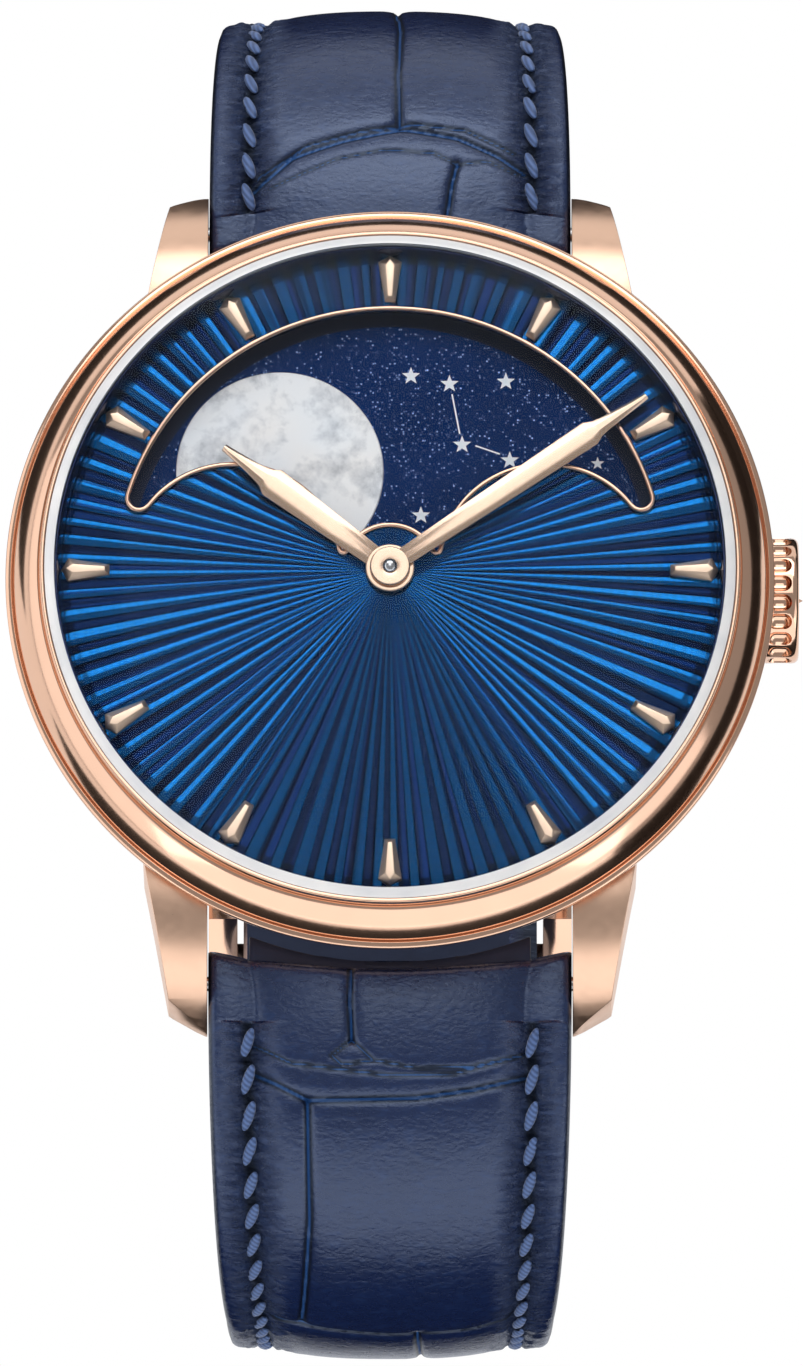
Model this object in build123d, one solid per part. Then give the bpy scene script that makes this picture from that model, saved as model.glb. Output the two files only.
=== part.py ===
import math
import os

from build123d import *

# Round dress watch with a moon phase aperture, in millimetres.
# The Z axis is the hands' axis, +Z leaves the dial, +Y points to 12 and +X to 3, where the crown is.
# Height zero is the flat outer face of the case back.

# Working values shared by all pieces
overrun = 1.0
running_gap = 0.03
seat_gap = 0.02
face_gap = 0.1

# Case middle
band_foot_radius = 19.0
band_belly_radius = 20.0
band_top_radius = 20.2
band_foot = 0.9
band_belly = 3.6
shoulder = 6.85
neck_radius = 19.3
neck_top = 8.5
case_bore_radius = 18.65
flange_bore_radius = 16.9
flange_top = 2.0

# Lugs
lug_width = 20.0
lug_root_x = 13.6
lug_bezel_x = 13.45
lug_corner_x = 12.1
lug_root_y = 13.0
lug_bezel_y = 15.8
lug_corner_y = 22.7
lug_end_y = 23.95
lug_crown_y = 17.0
lug_crown_height = 6.2
lug_root_height = 6.4
lug_bend_y = 21.6
lug_bend_height = 4.2
lug_tip_height = 0.35
lug_tip_foot = -0.5
lug_foot_y = 22.4
lug_arch_y = 20.0
lug_arch_height = 0.35
lug_heel_y = 17.6
lug_bevel = 0.22

# Bezel
bezel_radius = 21.05
bezel_foot = 6.9
bezel_rim_bevel = 0.15
bezel_rim_height = 0.45
step_radius = 20.67
step_height = 7.45
band_bulge = 0.12
ring_radius = 19.28
ring_height = 9.28
ring_groove = 0.09
lip_radius = 18.93
lip_top = 9.8
lip_bevel = 0.2
seat_radius = 18.4
seat_foot = 8.55
seat_top = 8.85
pocket_radius = 19.15
pocket_top = 9.1

# Front crystal and dial flange
crystal_radius = 18.9
crystal_chamfer_radius = 18.35
crystal_chamfer_top = 10.1
crystal_top = 11.5
crystal_hollow_radius = 18.4
crystal_hollow_edge = 9.65
crystal_hollow_top = 10.6
flange_foot_radius = 17.98
flange_top_radius = 18.22
flange_ring_top = 9.6

# Case back
back_radius = 18.7
back_thickness = 0.9
back_plug_radius = 16.8
back_plug_height = 1.3
back_window_radius = 14.0
back_crystal_radius = 14.4
back_crystal_seat = 0.2
back_crystal_thickness = 1.1
back_gasket_width = 0.2
back_seal_radius = 18.25
back_seal_width = 0.28
back_seal_depth = 0.2
back_screw_circle = 17.65
back_screw_count = 6
back_screw_head_radius = 0.62
back_screw_head_height = 0.35
back_screw_radius = 0.35
back_screw_length = 1.7
screw_slot_width = 0.18

# Movement holder
holder_radius = 18.55
holder_foot = 2.05
holder_step = 5.2
holder_flange_radius = 17.3

# Dial, aperture and markers
dial_radius = 18.35
dial_top = 8.9
dial_thickness = 0.9
dial_bore_radius = 1.1
flute_count = 96
flute_start = 3.0
flute_end = 17.6
flute_depth = 0.12
flute_width_share = 0.6
aperture_radius = 15.0
bump_radius = 5.8
moon_orbit = 8.53
bump_rise = 0.2
center_arc_radius = 2.55
aperture_end_y = 3.1
aperture_end_round = 0.45
aperture_root_y = 1.15
aperture_root_round = 0.16
rim_width = 0.32
rim_rise = 0.25
rim_depth = 0.3
marker_count = 12
marker_outer_radius = 17.85
marker_wide_radius = 17.57
marker_inner_radius = 15.35
marker_wide_width = 1.27
marker_inner_width = 0.57
marker_ridge_outer_width = 0.4
marker_ridge_inner_width = 0.22
marker_ridge_inset = 0.22
marker_side_height = 0.14
marker_height = 0.42

# Moon disc
moon_disc_radius = 14.3
moon_disc_top = 7.65
moon_disc_thickness = 0.5
moon_radius = 5.68
moon_inlay_depth = 0.2
moon_proud = 0.02
moon_angle = 135.0
moon_hub_radius = 1.9
moon_hub_bore = 1.32
moon_wheel_teeth = 59
moon_wheel_module = 0.26
moon_wheel_foot = 6.9
moon_wheel_thickness = 0.2
module_plate_radius = 16.2
module_plate_foot = 6.6
module_plate_top = 6.8
module_wall_width = 0.6
module_tube_radius = 1.28
module_tube_bore = 0.88
module_tube_top = 7.85

# Hands
hour_angle = -52.8
hour_length = 11.4
hour_base_width = 1.1
hour_wide_width = 1.75
hour_wide_share = 0.71
hour_foot = 9.22
hour_boss_radius = 1.35
minute_angle = 55.3
minute_length = 17.07
minute_base_width = 1.0
minute_wide_width = 1.46
minute_wide_share = 0.78
minute_foot = 9.6
minute_boss_radius = 1.1
hand_edge_height = 0.09
hand_thickness = 0.25
hand_needle_width = 0.42
hand_hollow_share = 0.52
hand_ridge_share = 0.36
post_radius = 0.385
post_cheek = 9.93
post_top = 10.1

# Gear teeth, as shares of the module and of the tooth pitch
wheel_tip_share = 0.9
pinion_tip_share = 0.6
root_depth_share = 1.2
tooth_root_share = 0.8

# Motion works under the dial
cannon_teeth = 12
cannon_module = 0.125
cannon_radius = 0.5
cannon_foot = 5.85
cannon_teeth_top = 6.25
minute_wheel_teeth = 36
minute_wheel_foot = 5.95
minute_wheel_thickness = 0.15
minute_pinion_teeth = 10
minute_pinion_module = 0.12
minute_pinion_top = 6.52
minute_stud_radius = 0.3
minute_stud_angle = -40.0
hour_wheel_teeth = 40
hour_wheel_foot = 6.32
hour_wheel_thickness = 0.16
hour_tube_radius = 0.8

# Main plate
plate_radius = 16.8
plate_foot = 4.25
plate_top = 5.75
plate_flange_radius = 17.25
plate_flange_foot = 5.25
plate_wall_width = 1.2
bridge_top = 2.65
bridge_foot = 2.05
arbor_radius = 0.2
pivot_depth = 0.6
jewel_radius = 0.6
jewel_thickness = 0.32

# Going train, all placed from the hands' axis
barrel_angle = 60.0
barrel_teeth = 54
barrel_module = 0.24
barrel_drum_radius = 6.05
barrel_foot = 3.15
barrel_gear_foot = 3.85
barrel_top = 4.15
barrel_wall = 0.3
barrel_floor = 0.2
barrel_arbor_radius = 0.5
barrel_hub_radius = 1.1
mainspring_strip = 0.22
mainspring_turns = 4
mainspring_pitch = 0.62
center_pinion_teeth = 9
center_pinion_foot = 3.78
center_pinion_top = 4.2
center_teeth = 48
center_module = 0.2
center_foot = 2.8
center_thickness = 0.2
third_angle = -60.0
third_pinion_teeth = 6
third_pinion_foot = 2.72
third_pinion_top = 3.1
third_teeth = 45
third_module = 0.16
third_foot = 3.5
third_thickness = 0.15
fourth_angle = 210.0
fourth_pinion_teeth = 6
fourth_pinion_foot = 3.4
fourth_pinion_top = 3.8
fourth_teeth = 60
fourth_module = 0.12
fourth_foot = 3.17
fourth_thickness = 0.13
escape_angle = 200.0
escape_pinion_teeth = 6
escape_pinion_foot = 3.02
escape_pinion_top = 3.42
escape_teeth = 15
escape_radius = 2.2
escape_root_radius = 1.75
escape_foot = 3.52
escape_thickness = 0.14
wheel_rim_width = 0.45
wheel_spoke_width = 0.4
wheel_hub_radius = 0.55
wheel_spoke_count = 4

# Escapement and balance
lever_angle = 150.0
escape_to_pallet = 2.6
pallet_to_balance = 2.6
stone_angle = 36.0
stone_radius = 2.24
stone_width = 0.24
stone_depth = 0.5
pallet_waist = 0.34
pallet_thickness = 0.14
lever_tip = 1.93
lever_notch_width = 0.22
lever_horn_width = 0.62
pallet_bridge_foot = 3.26
pallet_bridge_thickness = 0.15
pallet_bridge_width = 1.0
pallet_post_offset = 2.3
balance_radius = 4.3
balance_rim_width = 0.45
balance_foot = 2.9
balance_thickness = 0.3
balance_spoke_thickness = 0.16
roller_radius = 0.75
roller_foot = 3.22
roller_thickness = 0.22
roller_pin_orbit = 0.5
roller_pin_radius = 0.08
hairspring_foot = 2.6
hairspring_thickness = 0.16
hairspring_strip = 0.07
hairspring_turns = 5
hairspring_pitch = 0.38
collet_radius = 0.5
spiral_steps = 16

# Bridges
bridge_split = -1.6
bridge_split_gap = 0.15
balance_window_radius = 4.4
cock_width = 3.4
cock_arm_thickness = 0.42
movement_screw_circle = 16.2
movement_screw_radius = 0.3
movement_screw_head_radius = 0.52
movement_screw_head_height = 0.28
movement_screw_length = 1.6
barrel_bridge_screw_angles = (22.0, 95.0, 168.0)
train_bridge_screw_angles = (-25.0, -75.0, -118.0)

# Winding works
stem_height = 3.06
stem_radius = 0.5
stem_square = 0.56
stem_pilot_radius = 0.3
stem_pilot_end = 8.3
stem_square_start = 9.2
stem_square_end = 10.75
stem_end = 21.9
winding_start = 10.85
winding_teeth_end = 11.35
winding_end = 12.0
winding_hub_radius = 0.82
winding_teeth = 10
winding_radius = 1.033
winding_tip_rise = 0.15
winding_root_depth = 0.17
sliding_start = 9.4
sliding_end = 10.7
sliding_radius = 0.85
contrate_teeth = 30
contrate_radius = 3.1
contrate_face = 0.4
contrate_tooth = 0.2
contrate_height = 0.35
ratchet_teeth = 44
crown_wheel_teeth = 34
ratchet_module = 0.2
ratchet_foot = 1.35
ratchet_thickness = 0.3
ratchet_hub_radius = 1.0
crown_post_radius = 0.6
guide_inner_start = 8.2
guide_inner_end = 9.1
guide_outer_start = 12.1
guide_outer_end = 13.4
guide_half_width = 1.2
click_angle = 160.0
click_pivot_distance = 6.3
click_post_radius = 0.4
click_arm_width = 0.7
click_reach = 1.55
click_beak_width = 0.25

# Crown
crown_radius = 3.43
crown_start = 20.3
crown_end = 22.4
crown_dome = 0.35
crown_dome_share = 0.3
crown_rim = 0.36
crown_flute_count = 20
crown_flute_radius = 0.4
crown_flute_depth = 0.2
crown_socket_radius = 1.35
crown_socket_end = 21.05
crown_tube_radius = 0.95
crown_tube_bore = 0.56
crown_tube_start = 18.7
crown_tube_end = 20.95

# Strap, as the closed loop seen from the side
strap_lug_width = 19.8
strap_side_width = 18.0
strap_buckle_width = 16.4
strap_top = 3.8
strap_start_y = 19.6
strap_bend_y = 22.0
strap_bend_radius = 16.0
strap_low_radius = 26.0
strap_lug_thickness = 4.0
strap_side_thickness = 2.9
strap_buckle_thickness = 2.2
strap_lining_width = 15.4
strap_lining_start = 20.45
spring_bar_y = 21.45
spring_bar_height = 1.65
spring_bar_radius = 0.75
spring_bar_tip_radius = 0.4
spring_bar_tip_length = 1.0
strap_bar_gap = 0.06

# Buckle and tail
buckle_bar_y = 2.2
buckle_bar_radius = 0.6
buckle_frame_length = 10.6
buckle_frame_rod = 0.8
buckle_side_gap = 0.35
buckle_cross_drop = 1.5
wrap_gap = 0.1
wrap_radius = 1.3
tongue_width = 1.5
tongue_thickness = 0.8
tongue_eye_wall = 0.45
tongue_slot_width = 2.4
tail_gap = 0.3
tail_width = 16.0
tail_thickness = 2.0
tail_turn = 62.0
slope_start_y = -5.5
slope_end_y = 0.3
keeper_thickness = 0.8
keeper_length = 5.0
keeper_gap = 0.15
free_keeper_gap = 0.6
fixed_keeper_y = 8.2
free_keeper_turn = 22.0


def polar(radius, angle):
    return (radius * math.cos(math.radians(angle)), radius * math.sin(math.radians(angle)))


def shifted(place, radius, angle):
    step = polar(radius, angle)
    return (place[0] + step[0], place[1] + step[1])


def at(place, height=0):
    return Pos(place[0], place[1], height)


def drum(radius, low, high, place=(0, 0)):
    return at(place, low) * extrude(Circle(radius), amount=high - low)


def ring(outer, inner, low, high, place=(0, 0)):
    return at(place, low) * extrude(Circle(outer) - Circle(inner), amount=high - low)


def rod(radius, start, end, y=0, z=stem_height):
    return Plane.YZ.offset(start) * Pos(y, z) * extrude(Circle(radius), amount=end - start)


# Every flat outline runs anticlockwise, so that it is always raised the same way.
def area(*points):
    pairs = zip(points, points[1:] + points[:1])
    twice = sum(a[0] * b[1] - b[0] * a[1] for a, b in pairs)
    return Polygon(*(points if twice > 0 else points[::-1]), align=None)


# A dome is part of a ball whose centre is on the axis, drawn from its top to its edge.
def dome(edge_radius, edge_height, top):
    rise = top - edge_height
    ball = (edge_radius**2 + rise**2) / (2 * rise)
    half_turn = math.asin(edge_radius / ball) / 2
    middle = (ball * math.sin(half_turn), top - ball * (1 - math.cos(half_turn)))
    return ThreePointArc((0, top), middle, (edge_radius, edge_height))


def turned(*points):
    return revolve(Plane.XZ * area(*points), axis=Axis.Z)


def box(x_low, x_high, y_low, y_high, z_low, z_high):
    plate = Pos((x_low + x_high) / 2, (y_low + y_high) / 2) * Rectangle(x_high - x_low, y_high - y_low)
    return Pos(0, 0, z_low) * extrude(plate, amount=z_high - z_low)


def write(name, shape):
    export_step(shape, os.path.join("parts", name + ".step"))


def group(solids):
    return Part() + list(solids)


# Every wheel and pinion is one flat outline of pointed teeth with straight flanks.
def gear_outline(teeth, module, phase, tip_share):
    pitch_radius = teeth * module / 2
    tip_radius = pitch_radius + tip_share * module
    root_radius = pitch_radius - root_depth_share * module
    step = 360 / teeth
    points = []
    for tooth in range(teeth):
        middle = phase + tooth * step
        points.append(polar(root_radius, middle - tooth_root_share * step / 2))
        points.append(polar(tip_radius, middle))
        points.append(polar(root_radius, middle + tooth_root_share * step / 2))
    return area(*points)


# The windows between the spokes of a wheel are straight-sided.
def spoke_windows(outer, inner, count, phase=0):
    windows = []
    step = 360 / count
    for window in range(count):
        middle = phase + window * step
        outer_turn = step / 2 - math.degrees(wheel_spoke_width / 2 / outer)
        inner_turn = step / 2 - math.degrees(wheel_spoke_width / 2 / inner)
        points = [polar(inner, middle + inner_turn), polar(inner, middle - inner_turn)]
        points += [polar(outer, middle + turn * outer_turn) for turn in (-1, -0.5, 0, 0.5, 1)]
        windows.append(area(*points))
    return windows


def wheel(teeth, module, low, thickness, phase=0):
    outline = gear_outline(teeth, module, phase, wheel_tip_share)
    rim = teeth * module / 2 - root_depth_share * module - wheel_rim_width
    outline -= spoke_windows(rim, wheel_hub_radius, wheel_spoke_count)
    return Pos(0, 0, low) * extrude(outline, amount=thickness)


def pinion(teeth, module, low, high, phase=0):
    outline = gear_outline(teeth, module, phase, pinion_tip_share)
    return Pos(0, 0, low) * extrude(outline, amount=high - low)


# The phase that puts a gap of the second gear where a tooth of the first one points.
def meshed(direction, teeth, mate_teeth, mate_phase):
    return direction + 180 + 180 / teeth - (mate_phase - direction) * mate_teeth / teeth


def arbor(high=plate_foot + pivot_depth - face_gap, low=bridge_foot + face_gap, radius=arbor_radius):
    return drum(radius, low, high)


def pitch_distance(teeth, mate_teeth, module):
    return (teeth + mate_teeth) * module / 2


center_place = (0, 0)
barrel_place = polar(pitch_distance(barrel_teeth, center_pinion_teeth, barrel_module), barrel_angle)
third_place = polar(pitch_distance(center_teeth, third_pinion_teeth, center_module), third_angle)
fourth_place = shifted(
    third_place, pitch_distance(third_teeth, fourth_pinion_teeth, third_module), fourth_angle
)
escape_place = shifted(
    fourth_place, pitch_distance(fourth_teeth, escape_pinion_teeth, fourth_module), escape_angle
)
pallet_place = shifted(escape_place, escape_to_pallet, lever_angle)
balance_place = shifted(pallet_place, pallet_to_balance, lever_angle)
balance_angle = math.degrees(math.atan2(balance_place[1], balance_place[0]))
ratchet_distance = pitch_distance(ratchet_teeth, crown_wheel_teeth, ratchet_module)
crown_wheel_x = barrel_place[0] + math.sqrt(ratchet_distance**2 - barrel_place[1] ** 2)
crown_wheel_place = (crown_wheel_x, 0)
contrate_top = ratchet_foot + ratchet_thickness + contrate_height
minute_wheel_distance = pitch_distance(minute_wheel_teeth, cannon_teeth, cannon_module)
minute_wheel_place = polar(minute_wheel_distance, minute_stud_angle)


# Case

def lug():
    plan = area(
        (lug_width / 2, lug_root_y),
        (lug_root_x, lug_root_y),
        (lug_bezel_x, lug_bezel_y),
        (lug_corner_x, lug_corner_y),
        (lug_width / 2, lug_end_y),
    )
    side = [
        Line((lug_root_y, lug_root_height), (lug_crown_y, lug_crown_height)),
        ThreePointArc(
            (lug_crown_y, lug_crown_height), (lug_bend_y, lug_bend_height), (lug_end_y, lug_tip_height)
        ),
        Line((lug_end_y, lug_tip_height), (lug_end_y - (lug_tip_height - lug_tip_foot) / 2, lug_tip_foot)),
        Line((lug_end_y - (lug_tip_height - lug_tip_foot) / 2, lug_tip_foot), (lug_foot_y, lug_tip_foot)),
        ThreePointArc((lug_foot_y, lug_tip_foot), (lug_arch_y, lug_arch_height), (lug_heel_y, band_foot)),
        Line((lug_heel_y, band_foot), (lug_root_y, band_foot)),
        Line((lug_root_y, band_foot), (lug_root_y, lug_root_height)),
    ]
    height = lug_root_height - lug_tip_foot
    column = Pos(0, 0, lug_tip_foot - overrun) * extrude(plan, amount=height + 2 * overrun)
    profile = Plane.YZ.offset(lug_width / 2 - overrun) * make_face(side)
    body = column & extrude(profile, amount=lug_root_x - lug_width / 2 + 2 * overrun)
    inner = body.faces().sort_by(Axis.X)[0]
    body = chamfer(inner.edges().sort_by(Axis.Z)[-2:], lug_bevel)
    hole_end = lug_width / 2 + spring_bar_tip_length + running_gap
    hole_start = lug_width / 2 - overrun
    hole_radius = spring_bar_tip_radius + running_gap
    return body - rod(hole_radius, hole_start, hole_end, spring_bar_y, spring_bar_height)


def case_middle():
    outline = [
        Line((flange_bore_radius, band_foot), (band_foot_radius, band_foot)),
        ThreePointArc(
            (band_foot_radius, band_foot), (band_belly_radius, band_belly), (band_top_radius, shoulder)
        ),
        Line((band_top_radius, shoulder), (neck_radius, shoulder)),
        Line((neck_radius, shoulder), (neck_radius, neck_top)),
        Line((neck_radius, neck_top), (case_bore_radius, neck_top)),
        Line((case_bore_radius, neck_top), (case_bore_radius, flange_top)),
        Line((case_bore_radius, flange_top), (flange_bore_radius, flange_top)),
        Line((flange_bore_radius, flange_top), (flange_bore_radius, band_foot)),
    ]
    band = revolve(Plane.XZ * make_face(outline), axis=Axis.Z)
    corner = lug() - drum(case_bore_radius + overrun / 4, lug_tip_foot - overrun, neck_top)
    right = corner + mirror(corner, about=Plane.XZ)
    body = band + right + mirror(right, about=Plane.YZ)
    body -= rod(crown_tube_radius + seat_gap, flange_bore_radius, crown_end)
    reach = back_screw_radius + seat_gap
    for angle in screw_angles():
        body -= drum(reach, band_foot - overrun, flange_top + overrun, polar(back_screw_circle, angle))
    return body


def screw_angles():
    return [(turn + 0.5) * 360 / back_screw_count for turn in range(back_screw_count)]


def bezel():
    middle = ((step_radius + ring_radius) / 2 + band_bulge, (step_height + ring_height) / 2 + band_bulge)
    arc = ThreePointArc((step_radius, step_height), middle, (ring_radius, ring_height))
    corners = [
        (ring_radius, ring_height),
        (ring_radius - ring_groove, ring_height - ring_groove / 2),
        (ring_radius - ring_groove, ring_height + lip_bevel),
        (lip_radius + lip_bevel, lip_top),
        (lip_radius, lip_top),
        (lip_radius, pocket_top),
        (pocket_radius, pocket_top),
        (pocket_radius, seat_top),
        (seat_radius, seat_top),
        (seat_radius, seat_foot),
        (neck_radius + seat_gap, seat_foot),
        (neck_radius + seat_gap, bezel_foot),
        (bezel_radius - bezel_rim_bevel, bezel_foot),
        (bezel_radius, bezel_foot + bezel_rim_bevel),
        (bezel_radius, bezel_foot + bezel_rim_height),
        (step_radius, step_height),
    ]
    edges = [arc] + [Line(a, b) for a, b in zip(corners[:-1], corners[1:])]
    return revolve(Plane.XZ * make_face(edges), axis=Axis.Z)


def front_crystal():
    edges = [
        dome(crystal_chamfer_radius, crystal_chamfer_top, crystal_top),
        Line((crystal_chamfer_radius, crystal_chamfer_top), (crystal_radius, lip_top)),
        Line((crystal_radius, lip_top), (crystal_radius, seat_top)),
        Line((crystal_radius, seat_top), (crystal_hollow_radius, seat_top)),
        Line((crystal_hollow_radius, seat_top), (crystal_hollow_radius, crystal_hollow_edge)),
        dome(crystal_hollow_radius, crystal_hollow_edge, crystal_hollow_top),
        Line((0, crystal_hollow_top), (0, crystal_top)),
    ]
    return revolve(Plane.XZ * make_face(edges), axis=Axis.Z)


def dial_flange():
    return turned(
        (flange_foot_radius, dial_top + seat_gap),
        (dial_radius, dial_top + seat_gap),
        (dial_radius, flange_ring_top),
        (flange_top_radius, flange_ring_top),
    )


def case_back():
    body = turned(
        (back_window_radius, 0),
        (back_radius - lug_bevel, 0),
        (back_radius, lug_bevel),
        (back_radius, back_thickness),
        (back_plug_radius, back_thickness),
        (back_plug_radius, back_plug_height),
        (back_crystal_radius + back_gasket_width, back_plug_height),
        (back_crystal_radius + back_gasket_width, back_crystal_seat),
        (back_window_radius, back_crystal_seat),
    )
    body -= ring(
        back_seal_radius + back_seal_width / 2,
        back_seal_radius - back_seal_width / 2,
        back_thickness - back_seal_depth,
        back_thickness + overrun,
    )
    for angle in screw_angles():
        place = polar(back_screw_circle, angle)
        body -= drum(back_screw_head_radius + running_gap, -overrun, back_screw_head_height, place)
        body -= drum(back_screw_radius + running_gap, -overrun, back_thickness + overrun, place)
    return body


# The back crystal is stepped, so that its outer face is flush with the case back.
def back_crystal():
    body = drum(back_crystal_radius, back_crystal_seat, back_crystal_thickness)
    return body + drum(back_window_radius - seat_gap, 0, back_crystal_thickness)


def screw(head_radius, head_height, radius, length):
    head = drum(head_radius, 0, head_height)
    slot = box(
        -head_radius, head_radius, -screw_slot_width / 2, screw_slot_width / 2, -overrun, head_height / 2
    )
    return head + drum(radius, 0, length) - slot


def case_back_screws():
    one = screw(back_screw_head_radius, back_screw_head_height, back_screw_radius, back_screw_length)
    return group(at(polar(back_screw_circle, angle)) * Rot(0, 0, angle) * one for angle in screw_angles())


def movement_holder():
    body = turned(
        (plate_radius + seat_gap, holder_foot),
        (holder_radius, holder_foot),
        (holder_radius, dial_top - dial_thickness),
        (holder_flange_radius, dial_top - dial_thickness),
        (holder_flange_radius, holder_step),
        (plate_radius + seat_gap, holder_step),
    )
    return body - rod(stem_radius + face_gap, plate_radius - overrun, case_bore_radius + overrun)


# Dial side

def aperture_area(inset=0):
    outer = aperture_radius - inset
    end = aperture_end_y + inset
    root = aperture_root_y + inset
    half_root = moon_orbit - bump_radius + inset
    near = aperture_end_round / 4
    opening = Circle(outer) & (Pos(0, end + outer / 2) * Rectangle(2 * outer, outer))
    opening += Pos(0, (root + end) / 2) * Rectangle(2 * half_root + center_arc_radius, end - root)
    for side in (-1, 1):
        opening -= Pos(side * moon_orbit, bump_rise) * Circle(bump_radius + inset)
    opening -= Circle(center_arc_radius + inset)
    corners = [corner for corner in opening.vertices() if abs(corner.Y - end) < near]
    ends = [corner for corner in corners if abs(corner.X) > bump_radius]
    opening = fillet(ends, aperture_end_round - inset)
    roots = [corner for corner in opening.vertices() if abs(corner.Y - root) < near]
    return fillet(roots, aperture_root_round - inset / 2)


# A flute is a V-shaped groove that widens and deepens from near the hands' axis to the rim.
# Its cutter is twice as high as the groove is deep, so it stands out above the dial.
def dial_flute():
    sections = []
    for radius in (flute_start, flute_end):
        half_width = flute_width_share * math.pi * radius / flute_count
        depth = flute_depth * radius / flute_end
        section = area((0, -depth), (2 * half_width, depth), (-2 * half_width, depth))
        sections.append(Plane.YZ.offset(radius) * Pos(0, dial_top) * section)
    return loft(sections, ruled=True)


def dial():
    body = drum(dial_radius, dial_top - dial_thickness, dial_top)
    body -= drum(dial_bore_radius, 0, dial_top + overrun)
    one = dial_flute()
    body -= [Rot(0, 0, (turn + 0.5) * 360 / flute_count) * one for turn in range(flute_count)]
    return body - Pos(0, 0, dial_top - dial_thickness - overrun) * extrude(
        aperture_area(), amount=dial_thickness + 2 * overrun
    )


# The rim has a skirt inside the opening and a raised flange that lies on the dial round it.
def aperture_rim():
    inner = aperture_area(rim_width / 2)
    skirt = Pos(0, 0, dial_top - rim_depth) * extrude(aperture_area() - inner, amount=rim_depth)
    flange = Pos(0, 0, dial_top) * extrude(aperture_area(-rim_width / 2) - inner, amount=rim_rise)
    return skirt + flange


def hour_marker():
    base = [
        (marker_outer_radius, 0),
        (marker_wide_radius, marker_wide_width / 2),
        (marker_inner_radius, marker_inner_width / 2),
        (marker_inner_radius, -marker_inner_width / 2),
        (marker_wide_radius, -marker_wide_width / 2),
    ]
    ridge = [
        (marker_outer_radius - marker_ridge_inset * 1.5, 0),
        (marker_wide_radius - marker_ridge_inset, marker_ridge_outer_width / 2),
        (marker_inner_radius + marker_ridge_inset, marker_ridge_inner_width / 2),
        (marker_inner_radius + marker_ridge_inset, -marker_ridge_inner_width / 2),
        (marker_wide_radius - marker_ridge_inset, -marker_ridge_outer_width / 2),
    ]
    foot = Pos(0, 0, dial_top) * area(*base)
    waist = Pos(0, 0, dial_top + marker_side_height) * area(*base)
    top = Pos(0, 0, dial_top + marker_height) * area(*ridge)
    return extrude(foot, amount=marker_side_height) + loft([waist, top], ruled=True)


def hour_markers():
    one = hour_marker()
    return group(Rot(0, 0, turn * 360 / marker_count) * one for turn in range(marker_count))


def moon_places():
    return [polar(moon_orbit, moon_angle + half_turn) for half_turn in (0, 180)]


def moon_disc():
    foot = moon_disc_top - moon_disc_thickness
    pocket_foot = moon_disc_top - moon_inlay_depth
    body = ring(moon_disc_radius, moon_hub_radius + seat_gap / 2, foot, moon_disc_top)
    for place in moon_places():
        body -= drum(moon_radius + seat_gap / 2, pocket_foot, moon_disc_top + overrun, place)
    return body


def moons():
    foot = moon_disc_top - moon_inlay_depth
    return group(drum(moon_radius, foot, moon_disc_top + moon_proud, place) for place in moon_places())


def moon_wheel():
    outline = gear_outline(moon_wheel_teeth, moon_wheel_module, 0, wheel_tip_share)
    window_end = moon_wheel_teeth * moon_wheel_module / 2 - 2 * wheel_rim_width
    outline -= spoke_windows(window_end, 2 * moon_hub_radius, wheel_spoke_count)
    body = Pos(0, 0, moon_wheel_foot) * extrude(outline, amount=moon_wheel_thickness)
    hub = drum(moon_hub_radius, moon_wheel_foot, moon_disc_top)
    return body + hub - drum(moon_hub_bore, moon_wheel_foot - overrun, moon_disc_top + overrun)


def module_plate():
    body = drum(module_plate_radius, module_plate_foot, module_plate_top)
    body += drum(module_tube_radius, module_plate_foot, module_tube_top)
    body += ring(module_plate_radius, module_plate_radius - module_wall_width, plate_top, module_plate_foot)
    return body - drum(module_tube_bore, module_plate_foot - overrun, module_tube_top + overrun)


# Hands

def hand_outline(length, base_width, wide_width, wide_share, width_share):
    wide_y = length * wide_share
    half_needle = hand_needle_width * width_share / 2
    half_wide = wide_width * width_share / 2
    half_base = base_width * width_share / 2
    hollow_y = wide_y + (length - wide_y) * hand_hollow_share
    hollow_x = half_needle + (half_wide - half_needle) * (1 - hand_hollow_share) / 2
    edges = [Line((-half_base, 0), (half_base, 0)), Line((half_base, 0), (half_wide, wide_y))]
    edges.append(ThreePointArc((half_wide, wide_y), (hollow_x, hollow_y), (half_needle, length)))
    edges.append(Line((half_needle, length), (-half_needle, length)))
    edges.append(ThreePointArc((-half_needle, length), (-hollow_x, hollow_y), (-half_wide, wide_y)))
    edges.append(Line((-half_wide, wide_y), (-half_base, 0)))
    return make_face(edges)


def hand(length, base_width, wide_width, wide_share, foot, boss_radius, bore_radius, angle):
    outline = hand_outline(length, base_width, wide_width, wide_share, 1)
    ridge = hand_outline(length, base_width, wide_width, wide_share, hand_ridge_share)
    body = Pos(0, 0, foot) * extrude(outline, amount=hand_edge_height)
    waist = Pos(0, 0, foot + hand_edge_height) * outline
    body += loft([waist, Pos(0, 0, foot + hand_thickness) * ridge], ruled=True)
    body += drum(boss_radius, foot, foot + hand_thickness)
    body -= drum(bore_radius, foot - overrun, foot + hand_thickness + overrun)
    return Rot(0, 0, -angle) * body


def hour_hand():
    return hand(
        hour_length, hour_base_width, hour_wide_width, hour_wide_share,
        hour_foot, hour_boss_radius, hour_tube_radius + seat_gap / 2, hour_angle,
    )


def minute_hand():
    return hand(
        minute_length, minute_base_width, minute_wide_width, minute_wide_share,
        minute_foot, minute_boss_radius, post_radius + seat_gap / 2, minute_angle,
    )


# Motion works

def cannon_phase():
    return meshed(minute_stud_angle + 180, cannon_teeth, minute_wheel_teeth, 0)


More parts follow.
